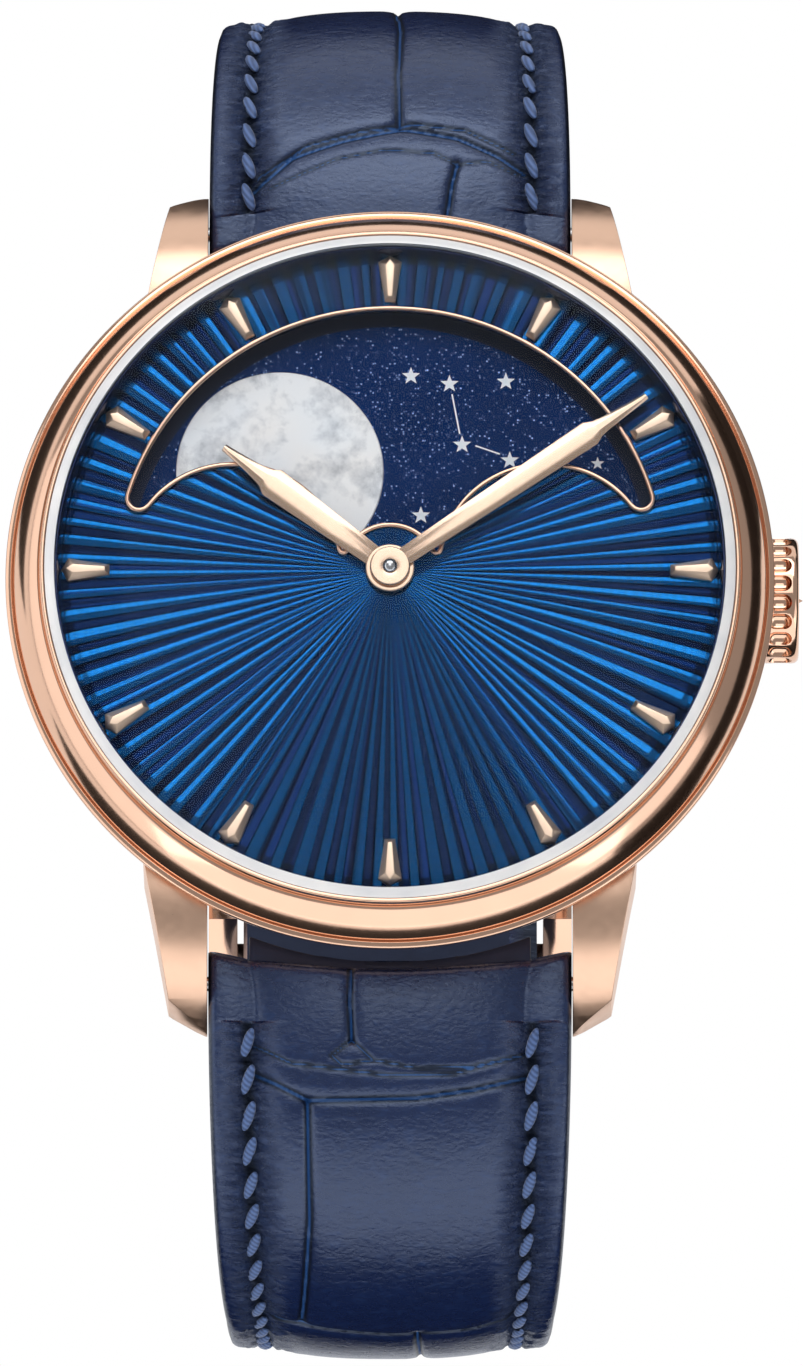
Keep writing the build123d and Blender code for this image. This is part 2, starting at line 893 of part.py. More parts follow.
def cannon_pinion():
    body = pinion(cannon_teeth, cannon_module, cannon_foot, cannon_teeth_top, cannon_phase())
    body += drum(cannon_radius, cannon_foot, minute_foot - seat_gap)
    cheek_foot = minute_foot - cannon_radius / 2
    cheek = [
        Line((0, cheek_foot), (post_radius, cheek_foot)),
        Line((post_radius, cheek_foot), (post_radius, post_cheek)),
        dome(post_radius, post_cheek, post_top),
        Line((0, post_top), (0, cheek_foot)),
    ]
    body += revolve(Plane.XZ * make_face(cheek), axis=Axis.Z)
    return body - drum(arbor_radius + running_gap, cannon_foot - overrun, minute_foot - cannon_radius)


def minute_wheel():
    body = wheel(minute_wheel_teeth, cannon_module, minute_wheel_foot, minute_wheel_thickness)
    body += pinion(minute_pinion_teeth, minute_pinion_module, minute_wheel_foot, minute_pinion_top)
    body -= drum(minute_stud_radius + running_gap, minute_wheel_foot - overrun, minute_pinion_top + overrun)
    return at(minute_wheel_place) * body


def hour_wheel():
    phase = meshed(minute_stud_angle + 180, hour_wheel_teeth, minute_pinion_teeth, 0)
    outline = gear_outline(hour_wheel_teeth, minute_pinion_module, phase, wheel_tip_share)
    body = Pos(0, 0, hour_wheel_foot) * extrude(outline, amount=hour_wheel_thickness)
    body += drum(hour_tube_radius, hour_wheel_foot, hour_foot + hand_thickness)
    return body - drum(
        cannon_radius + running_gap, hour_wheel_foot - overrun, hour_foot + hand_thickness + overrun
    )


# Movement

def main_plate():
    body = drum(plate_radius, plate_foot, plate_top)
    body += drum(plate_flange_radius, plate_flange_foot, plate_top)
    body += ring(plate_radius, plate_radius - plate_wall_width, bridge_top, plate_foot)
    for start, end in ((guide_inner_start, guide_inner_end), (guide_outer_start, guide_outer_end)):
        body += box(start, end, -guide_half_width, guide_half_width, bridge_top, plate_foot)
    body -= rod(stem_pilot_radius + running_gap, guide_inner_start - overrun, guide_inner_end + overrun)
    body -= rod(stem_radius + running_gap, guide_outer_start - overrun, plate_flange_radius + overrun)
    bore = arbor_radius + running_gap
    for place in (third_place, fourth_place, escape_place, pallet_place, balance_place):
        body -= drum(bore, plate_foot - overrun, plate_foot + pivot_depth, place)
    body -= drum(bore, plate_foot - overrun, plate_top + overrun)
    barrel_bore = barrel_arbor_radius + running_gap
    body -= drum(barrel_bore, plate_foot - overrun, plate_foot + pivot_depth, barrel_place)
    body += drum(minute_stud_radius, plate_top, minute_pinion_top, minute_wheel_place)
    for angle in movement_screw_angles():
        place = polar(movement_screw_circle, angle)
        body -= drum(movement_screw_radius + seat_gap, bridge_top - overrun, plate_foot, place)
    return body


def movement_screw_angles():
    angles = list(barrel_bridge_screw_angles) + list(train_bridge_screw_angles)
    return angles + [balance_angle]


def movement_screws():
    one = screw(
        movement_screw_head_radius, movement_screw_head_height, movement_screw_radius, movement_screw_length
    )
    lift = bridge_foot - movement_screw_head_height
    places = [(polar(movement_screw_circle, angle), angle) for angle in movement_screw_angles()]
    return group(at(place, lift) * Rot(0, 0, angle) * one for place, angle in places)


def cock_outline(width):
    reach = plate_radius - math.hypot(*balance_place)
    bar = Pos(reach / 2) * Rectangle(reach, width) + Circle(width / 2)
    return (at(balance_place) * Rot(0, 0, balance_angle) * bar) & Circle(plate_radius)


# A jewel sits flush in its pocket, with a wider hole for the arbor above it.
def jewel_cut(place):
    reach = jewel_radius + seat_gap / 2
    pocket = drum(reach, bridge_foot - overrun, bridge_foot + jewel_thickness, place)
    return pocket + drum(arbor_radius + face_gap, bridge_foot, bridge_top + overrun, place)


def screw_cut(angle):
    place = polar(movement_screw_circle, angle)
    radius = movement_screw_radius + running_gap
    return drum(radius, bridge_foot - overrun, bridge_top + overrun, place)


def bridge(outline, jewel_places, screw_places):
    body = Pos(0, 0, bridge_foot) * extrude(outline, amount=bridge_top - bridge_foot)
    body -= [jewel_cut(place) for place in jewel_places]
    return body - [screw_cut(angle) for angle in screw_places]


def barrel_bridge():
    reach = 2 * plate_radius
    outline = Circle(plate_radius) & (Pos(0, bridge_split + reach / 2) * Rectangle(reach, reach))
    outline -= at(balance_place) * Circle(balance_window_radius)
    outline -= cock_outline(cock_width + 2 * bridge_split_gap)
    half_width = winding_radius + winding_tip_rise + 2 * face_gap
    window = winding_end + face_gap - sliding_start
    outline -= Pos(sliding_start + window / 2) * Rectangle(window, 2 * half_width)
    body = bridge(outline, [center_place], barrel_bridge_screw_angles)
    barrel_bore = barrel_arbor_radius + running_gap
    body -= drum(barrel_bore, bridge_foot - overrun, bridge_top + overrun, barrel_place)
    body += drum(crown_post_radius, ratchet_foot, bridge_foot, crown_wheel_place)
    body += drum(click_post_radius, ratchet_foot, bridge_foot, click_place())
    return body - rod(stem_radius + face_gap, winding_end, plate_radius + overrun)


def train_bridge():
    reach = 2 * plate_radius
    top = bridge_split - bridge_split_gap
    outline = Circle(plate_radius) & (Pos(0, top - reach / 2) * Rectangle(reach, reach))
    outline -= at(balance_place) * Circle(balance_window_radius)
    behind = Pos(0, reach / 2 - cock_width / 2 - bridge_split_gap) * Rectangle(2 * reach, reach)
    outline -= Rot(0, 0, balance_angle - 180) * (Pos(-reach, 0) * behind)
    return bridge(outline, [third_place, fourth_place, escape_place], train_bridge_screw_angles)


def balance_cock():
    foot = Circle(plate_radius) - Circle(plate_radius - plate_wall_width)
    outline = cock_outline(cock_width)
    body = Pos(0, 0, bridge_foot) * extrude(outline, amount=cock_arm_thickness)
    body += Pos(0, 0, bridge_foot) * extrude(outline & foot, amount=bridge_top - bridge_foot)
    return body - jewel_cut(balance_place) - screw_cut(balance_angle)


def pallet_bridge():
    span = 2 * pallet_post_offset
    bar = Rectangle(pallet_bridge_width, span)
    for side in (-1, 1):
        bar += Pos(0, side * pallet_post_offset) * Circle(pallet_bridge_width / 2)
    body = extrude(bar, amount=pallet_bridge_thickness)
    for side in (-1, 1):
        body += drum(
            pallet_bridge_width / 2, 0, plate_foot - pallet_bridge_foot, (0, side * pallet_post_offset)
        )
    body -= drum(arbor_radius + running_gap, -overrun, pallet_bridge_thickness + overrun)
    return at(pallet_place, pallet_bridge_foot) * Rot(0, 0, lever_angle) * body


def bridge_jewels():
    jewel = ring(jewel_radius, arbor_radius + running_gap, bridge_foot, bridge_foot + jewel_thickness)
    places = (center_place, third_place, fourth_place, escape_place, balance_place)
    return group(at(place) * jewel for place in places)


def spiral_strip(inner, pitch, turns, strip):
    steps = range(turns * spiral_steps + 1)
    radii = [(inner + pitch * step / spiral_steps, 360 * step / spiral_steps) for step in steps]
    outer_line = [polar(radius + strip / 2, angle) for radius, angle in radii]
    inner_line = [polar(radius - strip / 2, angle) for radius, angle in reversed(radii)]
    return area(*outer_line, *inner_line)


def barrel():
    gear = gear_outline(barrel_teeth, barrel_module, barrel_phase(), wheel_tip_share)
    body = Pos(0, 0, barrel_gear_foot) * extrude(gear, amount=barrel_top - barrel_gear_foot)
    body += drum(barrel_drum_radius, barrel_foot, barrel_top)
    body -= drum(barrel_drum_radius - barrel_wall, barrel_foot + barrel_floor, barrel_top - barrel_floor)
    body -= drum(barrel_arbor_radius + running_gap, barrel_foot - overrun, barrel_top + overrun)
    return at(barrel_place) * body


def mainspring():
    inner = barrel_drum_radius - barrel_wall - mainspring_turns * mainspring_pitch - mainspring_strip
    strip = spiral_strip(inner, mainspring_pitch, mainspring_turns, mainspring_strip)
    foot = barrel_foot + barrel_floor + face_gap / 2
    height = barrel_top - barrel_foot - 2 * barrel_floor - face_gap
    return at(barrel_place, foot) * extrude(strip, amount=height)


def barrel_arbor():
    top = plate_foot + pivot_depth - face_gap
    hub_inset = barrel_floor + face_gap / 2
    body = drum(barrel_arbor_radius, ratchet_foot, top)
    body += drum(barrel_hub_radius, barrel_foot + hub_inset, barrel_top - hub_inset)
    return at(barrel_place) * body


def barrel_phase():
    return meshed(barrel_angle, barrel_teeth, center_pinion_teeth, 0)


def center_wheel():
    body = wheel(center_teeth, center_module, center_foot, center_thickness)
    body += pinion(center_pinion_teeth, barrel_module, center_pinion_foot, center_pinion_top)
    return body + arbor(minute_foot - cannon_radius - face_gap)


def third_phase():
    return meshed(third_angle, third_pinion_teeth, center_teeth, 0)


def third_wheel():
    body = wheel(third_teeth, third_module, third_foot, third_thickness)
    body += pinion(third_pinion_teeth, center_module, third_pinion_foot, third_pinion_top, third_phase())
    return at(third_place) * (body + arbor())


def fourth_wheel():
    phase = meshed(fourth_angle, fourth_pinion_teeth, third_teeth, 0)
    body = wheel(fourth_teeth, fourth_module, fourth_foot, fourth_thickness)
    body += pinion(fourth_pinion_teeth, third_module, fourth_pinion_foot, fourth_pinion_top, phase)
    return at(fourth_place) * (body + arbor())


def escape_wheel():
    points = []
    step = 360 / escape_teeth
    for tooth in range(escape_teeth):
        middle = lever_angle + tooth * step
        points.append(polar(escape_root_radius, middle - step / 3))
        points.append(polar(escape_radius, middle - step / 12))
        points.append(polar(escape_radius, middle))
        points.append(polar(escape_root_radius, middle + step / 12))
    outline = area(*points)
    outline -= spoke_windows(escape_root_radius - wheel_spoke_width, wheel_hub_radius, wheel_spoke_count)
    body = Pos(0, 0, escape_foot) * extrude(outline, amount=escape_thickness)
    phase = meshed(escape_angle, escape_pinion_teeth, fourth_teeth, 0)
    body += pinion(escape_pinion_teeth, fourth_module, escape_pinion_foot, escape_pinion_top, phase)
    return at(escape_place) * (body + arbor())


# The anchor straddles the escape wheel, and its lever points at the balance staff.
def pallet_fork():
    outline = Pos(lever_tip / 2) * Rectangle(lever_tip, pallet_waist) + Circle(2 * arbor_radius)
    outline += Pos(lever_tip - lever_horn_width / 2) * Rectangle(lever_horn_width, lever_horn_width)
    outline -= Pos(lever_tip) * Rectangle(lever_notch_width, lever_notch_width)
    for side in (-1, 1):
        tip = polar(stone_radius, side * stone_angle)
        tip = (tip[0] - escape_to_pallet, tip[1])
        out = polar(stone_depth, side * stone_angle)
        heel = (tip[0] + out[0], tip[1] + out[1])
        offset = polar(stone_width / 2, side * stone_angle + 90)
        outline += area(
            (tip[0] + offset[0], tip[1] + offset[1]),
            (heel[0] + offset[0], heel[1] + offset[1]),
            (heel[0] - offset[0], heel[1] - offset[1]),
            (tip[0] - offset[0], tip[1] - offset[1]),
        )
        outline += area(
            (-pallet_waist / 2, 0),
            (pallet_waist / 2, 0),
            (heel[0] + stone_width, heel[1]),
            (heel[0] - stone_width / 2, heel[1] - side * stone_width / 2),
        )
    body = Pos(0, 0, escape_foot) * extrude(outline, amount=pallet_thickness)
    body += arbor(low=pallet_bridge_foot - face_gap / 2)
    return at(pallet_place) * Rot(0, 0, lever_angle) * body


def balance_wheel():
    inner = balance_radius - balance_rim_width
    body = ring(balance_radius, inner, balance_foot, balance_foot + balance_thickness)
    spokes = Rectangle(2 * inner + balance_rim_width, 2 * wheel_spoke_width) + Circle(roller_radius)
    body += Pos(0, 0, balance_foot) * extrude(spokes, amount=balance_spoke_thickness)
    body += drum(roller_radius, roller_foot, roller_foot + roller_thickness)
    body += drum(collet_radius, hairspring_foot, roller_foot)
    pin_place = (-roller_pin_orbit, 0)
    pin_end = escape_foot + escape_thickness
    body += drum(roller_pin_radius, roller_foot, pin_end, pin_place)
    return at(balance_place) * Rot(0, 0, lever_angle) * (body + arbor())


def hairspring():
    inner = collet_radius + hairspring_strip / 2 + seat_gap
    strip = spiral_strip(inner, hairspring_pitch, hairspring_turns, hairspring_strip)
    return at(balance_place, hairspring_foot) * extrude(strip, amount=hairspring_thickness)


# Winding works

def ratchet_wheel():
    outline = gear_outline(ratchet_teeth, ratchet_module, ratchet_phase(), wheel_tip_share)
    body = Pos(0, 0, ratchet_foot) * extrude(outline, amount=ratchet_thickness)
    body += drum(ratchet_hub_radius, ratchet_foot, bridge_foot - running_gap)
    body -= drum(barrel_arbor_radius + seat_gap / 2, ratchet_foot - overrun, bridge_foot + overrun)
    return at(barrel_place) * body


def ratchet_direction():
    rise = barrel_place[1] - crown_wheel_place[1]
    run = barrel_place[0] - crown_wheel_place[0]
    return math.degrees(math.atan2(rise, run))


def ratchet_phase():
    return meshed(ratchet_direction(), ratchet_teeth, crown_wheel_teeth, 0)


def crown_wheel():
    outline = gear_outline(crown_wheel_teeth, ratchet_module, 0, wheel_tip_share)
    body = Pos(0, 0, ratchet_foot) * extrude(outline, amount=ratchet_thickness)
    tooth = box(
        contrate_radius - contrate_face / 2, contrate_radius + contrate_face / 2,
        -contrate_tooth / 2, contrate_tooth / 2,
        ratchet_foot + ratchet_thickness / 2, contrate_top,
    )
    body += [Rot(0, 0, (turn + 0.5) * 360 / contrate_teeth) * tooth for turn in range(contrate_teeth)]
    body -= drum(crown_post_radius + running_gap, ratchet_foot - overrun, bridge_foot)
    return at(crown_wheel_place) * body


def winding_pinion():
    points = []
    step = 360 / winding_teeth
    for tooth in range(winding_teeth):
        middle = -90 + tooth * step
        points.append(polar(winding_radius - winding_root_depth, middle - step / 3))
        points.append(polar(winding_radius + winding_tip_rise, middle))
        points.append(polar(winding_radius - winding_root_depth, middle + step / 3))
    teeth = Plane.YZ.offset(winding_start) * Pos(0, stem_height) * area(*points)
    body = extrude(teeth, amount=winding_teeth_end - winding_start)
    body += rod(winding_hub_radius, winding_start, winding_end)
    return body - rod(stem_radius + running_gap, winding_start - overrun, winding_end + overrun)


def sliding_pinion():
    body = rod(sliding_radius, sliding_start, sliding_end)
    waist = rod(sliding_radius + overrun, sliding_start + face_gap * 3, sliding_start + face_gap * 6)
    waist -= rod(sliding_radius - 2 * face_gap, sliding_start, sliding_end)
    side = stem_square + 2 * running_gap
    hole = Plane.YZ.offset(sliding_start - overrun) * Pos(0, stem_height) * Rectangle(side, side)
    return body - waist - extrude(hole, amount=sliding_end - sliding_start + 2 * overrun)


def stem():
    body = rod(stem_radius, stem_square_end + face_gap, stem_end)
    body += rod(stem_pilot_radius, stem_pilot_end, stem_square_start)
    square = Plane.YZ.offset(stem_square_start) * Pos(0, stem_height) * Rectangle(stem_square, stem_square)
    return body + extrude(square, amount=stem_square_end + face_gap - stem_square_start)


def click_place():
    reach = click_pivot_distance
    return shifted(barrel_place, reach, click_angle)


def click():
    tip = ratchet_teeth * ratchet_module / 2 + wheel_tip_share * ratchet_module + 2 * running_gap
    tip_y = math.sqrt(tip**2 - click_reach**2) - click_pivot_distance
    arm = Circle(click_arm_width)
    arm += area(
        (-click_arm_width / 2, -click_arm_width / 2),
        (click_reach, tip_y),
        (click_reach + click_beak_width, tip_y + 2 * click_beak_width),
        (click_arm_width / 2, click_arm_width / 2),
    )
    arm -= Circle(click_post_radius + running_gap)
    body = extrude(arm, amount=ratchet_thickness)
    return at(click_place(), ratchet_foot) * Rot(0, 0, click_angle - 90) * body


# Crown and its tube

def crown():
    outline = [
        Line((crown_start, 0), (crown_start, crown_radius - crown_dome / 2)),
        Line((crown_start, crown_radius - crown_dome / 2), (crown_start + crown_dome / 2, crown_radius)),
        Line((crown_start + crown_dome / 2, crown_radius), (crown_end - crown_dome, crown_radius)),
        ThreePointArc(
            (crown_end - crown_dome, crown_radius),
            (crown_end - crown_dome * crown_dome_share, crown_radius - crown_dome * (1 - crown_dome_share)),
            (crown_end, crown_radius - 2 * crown_dome),
        ),
        Line((crown_end, crown_radius - 2 * crown_dome), (crown_end, 0)),
        Line((crown_end, 0), (crown_start, 0)),
    ]
    body = revolve(make_face(outline), axis=Axis.X)
    flute_start = crown_start + crown_rim
    flute_length = crown_end - crown_start - 2 * crown_rim
    flute = Plane.YZ.offset(flute_start) * Pos(crown_radius + crown_flute_radius - crown_flute_depth)
    flute = flute * extrude(Circle(crown_flute_radius), amount=flute_length)
    step = 360 / crown_flute_count
    body -= [Rot(turn * step, 0, 0) * flute for turn in range(crown_flute_count)]
    body = Pos(0, 0, stem_height) * body
    body -= rod(crown_socket_radius, crown_start - overrun, crown_socket_end)
    return body - rod(stem_radius + seat_gap / 2, crown_start, stem_end)


def crown_tube():
    body = rod(crown_tube_radius, crown_tube_start, crown_tube_end)
    return body - rod(crown_tube_bore, crown_tube_start - overrun, crown_tube_end + overrun)


# Strap

loop_side_height = strap_top - strap_bend_radius
loop_side_y = strap_bend_y + strap_bend_radius
loop_low_y = loop_side_y - strap_low_radius
loop_bottom = loop_side_height - strap_low_radius
strap_under = loop_bottom + strap_buckle_thickness


def strap_side():
    diagonal = math.sqrt(0.5)
    inner_side_y = loop_side_y - strap_side_thickness
    inner_top = strap_top - strap_lug_thickness
    rise = inner_top - loop_side_height
    run = inner_side_y - strap_bend_y
    low_run = inner_side_y - loop_low_y
    low_rise = loop_side_height - strap_under
    outer = strap_bend_radius * diagonal
    low = strap_low_radius * diagonal
    return [
        Line((strap_start_y, strap_top), (strap_bend_y, strap_top)),
        ThreePointArc(
            (strap_bend_y, strap_top),
            (strap_bend_y + outer, loop_side_height + outer),
            (loop_side_y, loop_side_height),
        ),
        ThreePointArc(
            (loop_side_y, loop_side_height),
            (loop_low_y + low, loop_side_height - low),
            (loop_low_y, loop_bottom),
        ),
        ThreePointArc(
            (loop_low_y, strap_under),
            (loop_low_y + low_run * diagonal, loop_side_height - low_rise * diagonal),
            (inner_side_y, loop_side_height),
        ),
        ThreePointArc(
            (inner_side_y, loop_side_height),
            (strap_bend_y + run * diagonal, loop_side_height + rise * diagonal),
            (strap_bend_y, inner_top),
        ),
        Line((strap_bend_y, inner_top), (strap_start_y, inner_top)),
        Line((strap_start_y, inner_top), (strap_start_y, strap_top)),
    ]


def across(face, width):
    return Pos(-width / 2, 0, 0) * extrude(Plane.YZ * face, amount=width, dir=(1, 0, 0))


# A strap half narrows from the lugs to the buckle, so its loop is cut by one tapering outline.
def strap_taper():
    half_lug, half_side, half_buckle = strap_lug_width / 2, strap_side_width / 2, strap_buckle_width / 2
    outline = area(
        (-half_lug, strap_top + overrun),
        (half_lug, strap_top + overrun),
        (half_lug, 0),
        (half_side, loop_side_height),
        (half_buckle, loop_bottom),
        (half_buckle, loop_bottom - overrun),
        (-half_buckle, loop_bottom - overrun),
        (-half_buckle, loop_bottom),
        (-half_side, loop_side_height),
        (-half_lug, 0),
    )
    return extrude(Plane.XZ * outline, amount=loop_side_y + overrun, both=True)


def strap_half():
    edges = strap_side()
    edges.append(Line((loop_low_y, loop_bottom), (loop_low_y, strap_under)))
    body = across(make_face(edges), strap_lug_width) & strap_taper()
    half = strap_lining_width / 2
    low = strap_top - strap_lug_thickness - overrun
    body -= box(-half, half, strap_start_y - overrun, strap_lining_start, low, strap_top + overrun)
    hole = rod(
        spring_bar_radius + strap_bar_gap, -strap_lug_width / 2 - overrun, strap_lug_width / 2 + overrun,
        spring_bar_y, spring_bar_height,
    )
    return body - hole


def strap_12():
    bar_height = buckle_bar_height()
    flat = box(
        -strap_buckle_width / 2, strap_buckle_width / 2, buckle_bar_y, loop_low_y, loop_bottom, strap_under
    )
    wrap = Plane.YZ.offset(-strap_buckle_width / 2) * Pos(buckle_bar_y, bar_height)
    wrap = wrap * extrude(Circle(wrap_radius), amount=strap_buckle_width)
    body = strap_half() + flat + wrap
    body -= rod(
        buckle_bar_radius + wrap_gap, -strap_buckle_width, strap_buckle_width, buckle_bar_y, bar_height
    )
    room = tongue_width / 2 + tail_gap
    return body - box(
        -room, room, buckle_bar_y - strap_buckle_thickness, buckle_bar_y + strap_buckle_thickness,
        loop_bottom - overrun, strap_under + overrun,
    )


def buckle_bar_height():
    return (loop_bottom + strap_under) / 2


def strap_6():
    half = mirror(strap_half(), about=Plane.XZ)
    tail_top = loop_bottom - tail_gap
    tail_low = tail_top - tail_thickness
    side = [
        (-loop_low_y, strap_under),
        (-loop_low_y, loop_bottom),
        (slope_start_y, loop_bottom),
        (slope_end_y, tail_low),
        (loop_low_y, tail_low),
        (loop_low_y, tail_top),
        (slope_end_y + tail_thickness / 4, tail_top),
        (slope_start_y + tail_thickness / 4, strap_under),
    ]
    flat = across(area(*side), tail_width)
    outer, inner = strap_low_radius + tail_gap + tail_thickness, strap_low_radius + tail_gap
    sector = Circle(outer) - Circle(inner)
    reach = 2 * outer
    wedge = area((0, 0), (0, -reach), polar(reach, tail_turn / 2 - 90), polar(reach, tail_turn - 90))
    tail = across(Pos(loop_low_y, loop_side_height) * (sector & wedge), tail_width)
    slot_end = buckle_bar_y + buckle_bar_radius + running_gap + tongue_eye_wall + tail_gap
    slot = box(
        -tongue_slot_width / 2, tongue_slot_width / 2, slope_start_y + tail_thickness / 2, slot_end,
        tail_low - overrun, strap_under + overrun,
    )
    return half + flat + tail - slot


# Buckle: a bent frame round the strap, a bar through the strap's end and a tongue on that bar.
def buckle_half_width():
    return strap_buckle_width / 2 + buckle_side_gap + buckle_frame_rod


def buckle_cross_y():
    return buckle_bar_y - buckle_frame_length


def buckle_frame():
    outer = buckle_half_width() + buckle_frame_rod
    bar_height = buckle_bar_height()
    cross_height = bar_height - strap_buckle_thickness / 2 - buckle_cross_drop
    low, high = bar_height - buckle_frame_rod, bar_height + buckle_frame_rod
    side = [
        (buckle_bar_y + 2 * buckle_frame_rod, high),
        (buckle_cross_y() + 2 * buckle_frame_rod, high),
        (buckle_cross_y() - buckle_frame_rod, cross_height + buckle_frame_rod),
        (buckle_cross_y() - buckle_frame_rod, cross_height - buckle_frame_rod),
        (buckle_cross_y() + buckle_frame_rod, cross_height - buckle_frame_rod),
        (buckle_bar_y + 2 * buckle_frame_rod, low),
    ]
    body = across(area(*side), 2 * outer)
    inner = outer - 2 * buckle_frame_rod
    body -= box(
        -inner, inner, buckle_cross_y() + buckle_frame_rod, buckle_bar_y + 4 * buckle_frame_rod,
        cross_height - 2 * overrun, high + overrun,
    )
    body -= box(
        -inner, inner, buckle_cross_y() - overrun - buckle_frame_rod, buckle_bar_y,
        loop_bottom - tail_gap, high + overrun,
    )
    reach = outer + overrun
    return body - rod(buckle_bar_radius / 2 + seat_gap, -reach, reach, buckle_bar_y, bar_height)


def buckle_bar():
    half = buckle_half_width() - buckle_frame_rod - seat_gap
    body = rod(buckle_bar_radius, -half, half, buckle_bar_y, buckle_bar_height())
    reach = half + buckle_frame_rod
    return body + rod(buckle_bar_radius / 2, -reach, reach, buckle_bar_y, buckle_bar_height())


def buckle_tongue():
    bar_height = buckle_bar_height()
    eye = Circle(buckle_bar_radius + running_gap + tongue_eye_wall)
    cross_low = bar_height - strap_buckle_thickness / 2 - buckle_cross_drop - buckle_frame_rod
    rest = cross_low - bar_height - running_gap
    near = buckle_cross_y() + buckle_frame_rod - buckle_bar_y
    far = near - 2 * buckle_frame_rod
    shank = area(
        (0, -buckle_bar_radius - running_gap),
        (near, rest),
        (far, rest),
        (far, rest - tongue_thickness / 2),
        (near, rest - tongue_thickness),
        (0, -buckle_bar_radius - running_gap - tongue_eye_wall),
    )
    outline = Pos(buckle_bar_y, bar_height) * (eye + shank - Circle(buckle_bar_radius + running_gap))
    return across(outline, tongue_width)


def keeper(inner_height, width):
    opening = Rectangle(width, inner_height)
    wall = 2 * keeper_thickness
    outer = RectangleRounded(width + wall, inner_height + wall, keeper_thickness)
    return extrude(outer - opening, amount=keeper_length / 2, both=True)


def keeper_stack():
    return strap_buckle_thickness + tail_gap + tail_thickness + 2 * keeper_gap


def fixed_keeper():
    middle = (strap_under + loop_bottom - tail_gap - tail_thickness) / 2
    loop = Rot(90, 0, 0) * keeper(keeper_stack(), strap_buckle_width + 2 * keeper_gap)
    return Pos(0, fixed_keeper_y, middle) * loop


def free_keeper():
    outer = strap_low_radius + tail_gap + tail_thickness
    middle = (outer + strap_low_radius - strap_buckle_thickness) / 2
    wide = strap_buckle_width + (strap_side_width - strap_buckle_width) / 2
    loop = Rot(90, 0, 0) * keeper(keeper_stack() + 2 * free_keeper_gap, wide + 2 * free_keeper_gap)
    return Pos(0, loop_low_y, loop_side_height) * Rot(free_keeper_turn, 0, 0) * Pos(0, 0, -middle) * loop


def spring_bar(y):
    half = lug_width / 2 - face_gap
    body = rod(spring_bar_radius, -half, half, y, spring_bar_height)
    reach = lug_width / 2 + spring_bar_tip_length - face_gap
    return body + rod(spring_bar_tip_radius, -reach, reach, y, spring_bar_height)


pieces = {
    "case_middle": case_middle,
    "bezel": bezel,
    "front_crystal": front_crystal,
    "front_gasket": lambda: ring(
        pocket_radius - seat_gap, crystal_radius + seat_gap, seat_top + seat_gap, pocket_top - seat_gap
    ),
    "dial_flange": dial_flange,
    "case_back": case_back,
    "case_back_gasket": lambda: ring(
        back_seal_radius + back_seal_width / 2 - seat_gap,
        back_seal_radius - back_seal_width / 2 + seat_gap,
        back_thickness - back_seal_depth,
        back_thickness,
    ),
    "back_crystal": back_crystal,
    "back_crystal_gasket": lambda: ring(
        back_crystal_radius + back_gasket_width - seat_gap / 2,
        back_crystal_radius + seat_gap / 2,
        back_crystal_seat,
        back_plug_height,
    ),
    "case_back_screws": case_back_screws,
    "movement_holder": movement_holder,
    "dial": dial,
    "aperture_rim": aperture_rim,
    "hour_markers": hour_markers,
    "moon_disc": moon_disc,
    "moons": moons,
    "moon_wheel": moon_wheel,
    "module_plate": module_plate,
    "hour_hand": hour_hand,
    "minute_hand": minute_hand,
    "cannon_pinion": cannon_pinion,
    "minute_wheel": minute_wheel,
    "hour_wheel": hour_wheel,
    "main_plate": main_plate,
    "movement_screws": movement_screws,
    "barrel_bridge": barrel_bridge,
    "train_bridge": train_bridge,
    "balance_cock": balance_cock,
    "pallet_bridge": pallet_bridge,
    "bridge_jewels": bridge_jewels,
    "barrel": barrel,
    "mainspring": mainspring,
    "barrel_arbor": barrel_arbor,
    "center_wheel": center_wheel,
    "third_wheel": third_wheel,
    "fourth_wheel": fourth_wheel,
    "escape_wheel": escape_wheel,
    "pallet_fork": pallet_fork,
    "balance_wheel": balance_wheel,
    "hairspring": hairspring,
    "ratchet_wheel": ratchet_wheel,
    "crown_wheel": crown_wheel,
    "winding_pinion": winding_pinion,
    "sliding_pinion": sliding_pinion,
    "stem": stem,
    "click": click,
    "crown": crown,
    "crown_tube": crown_tube,
    "strap_12": strap_12,
    "strap_6": strap_6,
    "buckle_frame": buckle_frame,
    "buckle_bar": buckle_bar,
    "buckle_tongue": buckle_tongue,
    "fixed_keeper": fixed_keeper,
    "free_keeper": free_keeper,
    "spring_bar_12": lambda: spring_bar(spring_bar_y),
    "spring_bar_6": lambda: spring_bar(-spring_bar_y),
}

os.makedirs("parts", exist_ok=True)
for name, make in pieces.items():
    write(name, make())
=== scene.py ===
import math
import random

import bpy
from mathutils import Matrix, Vector, noise


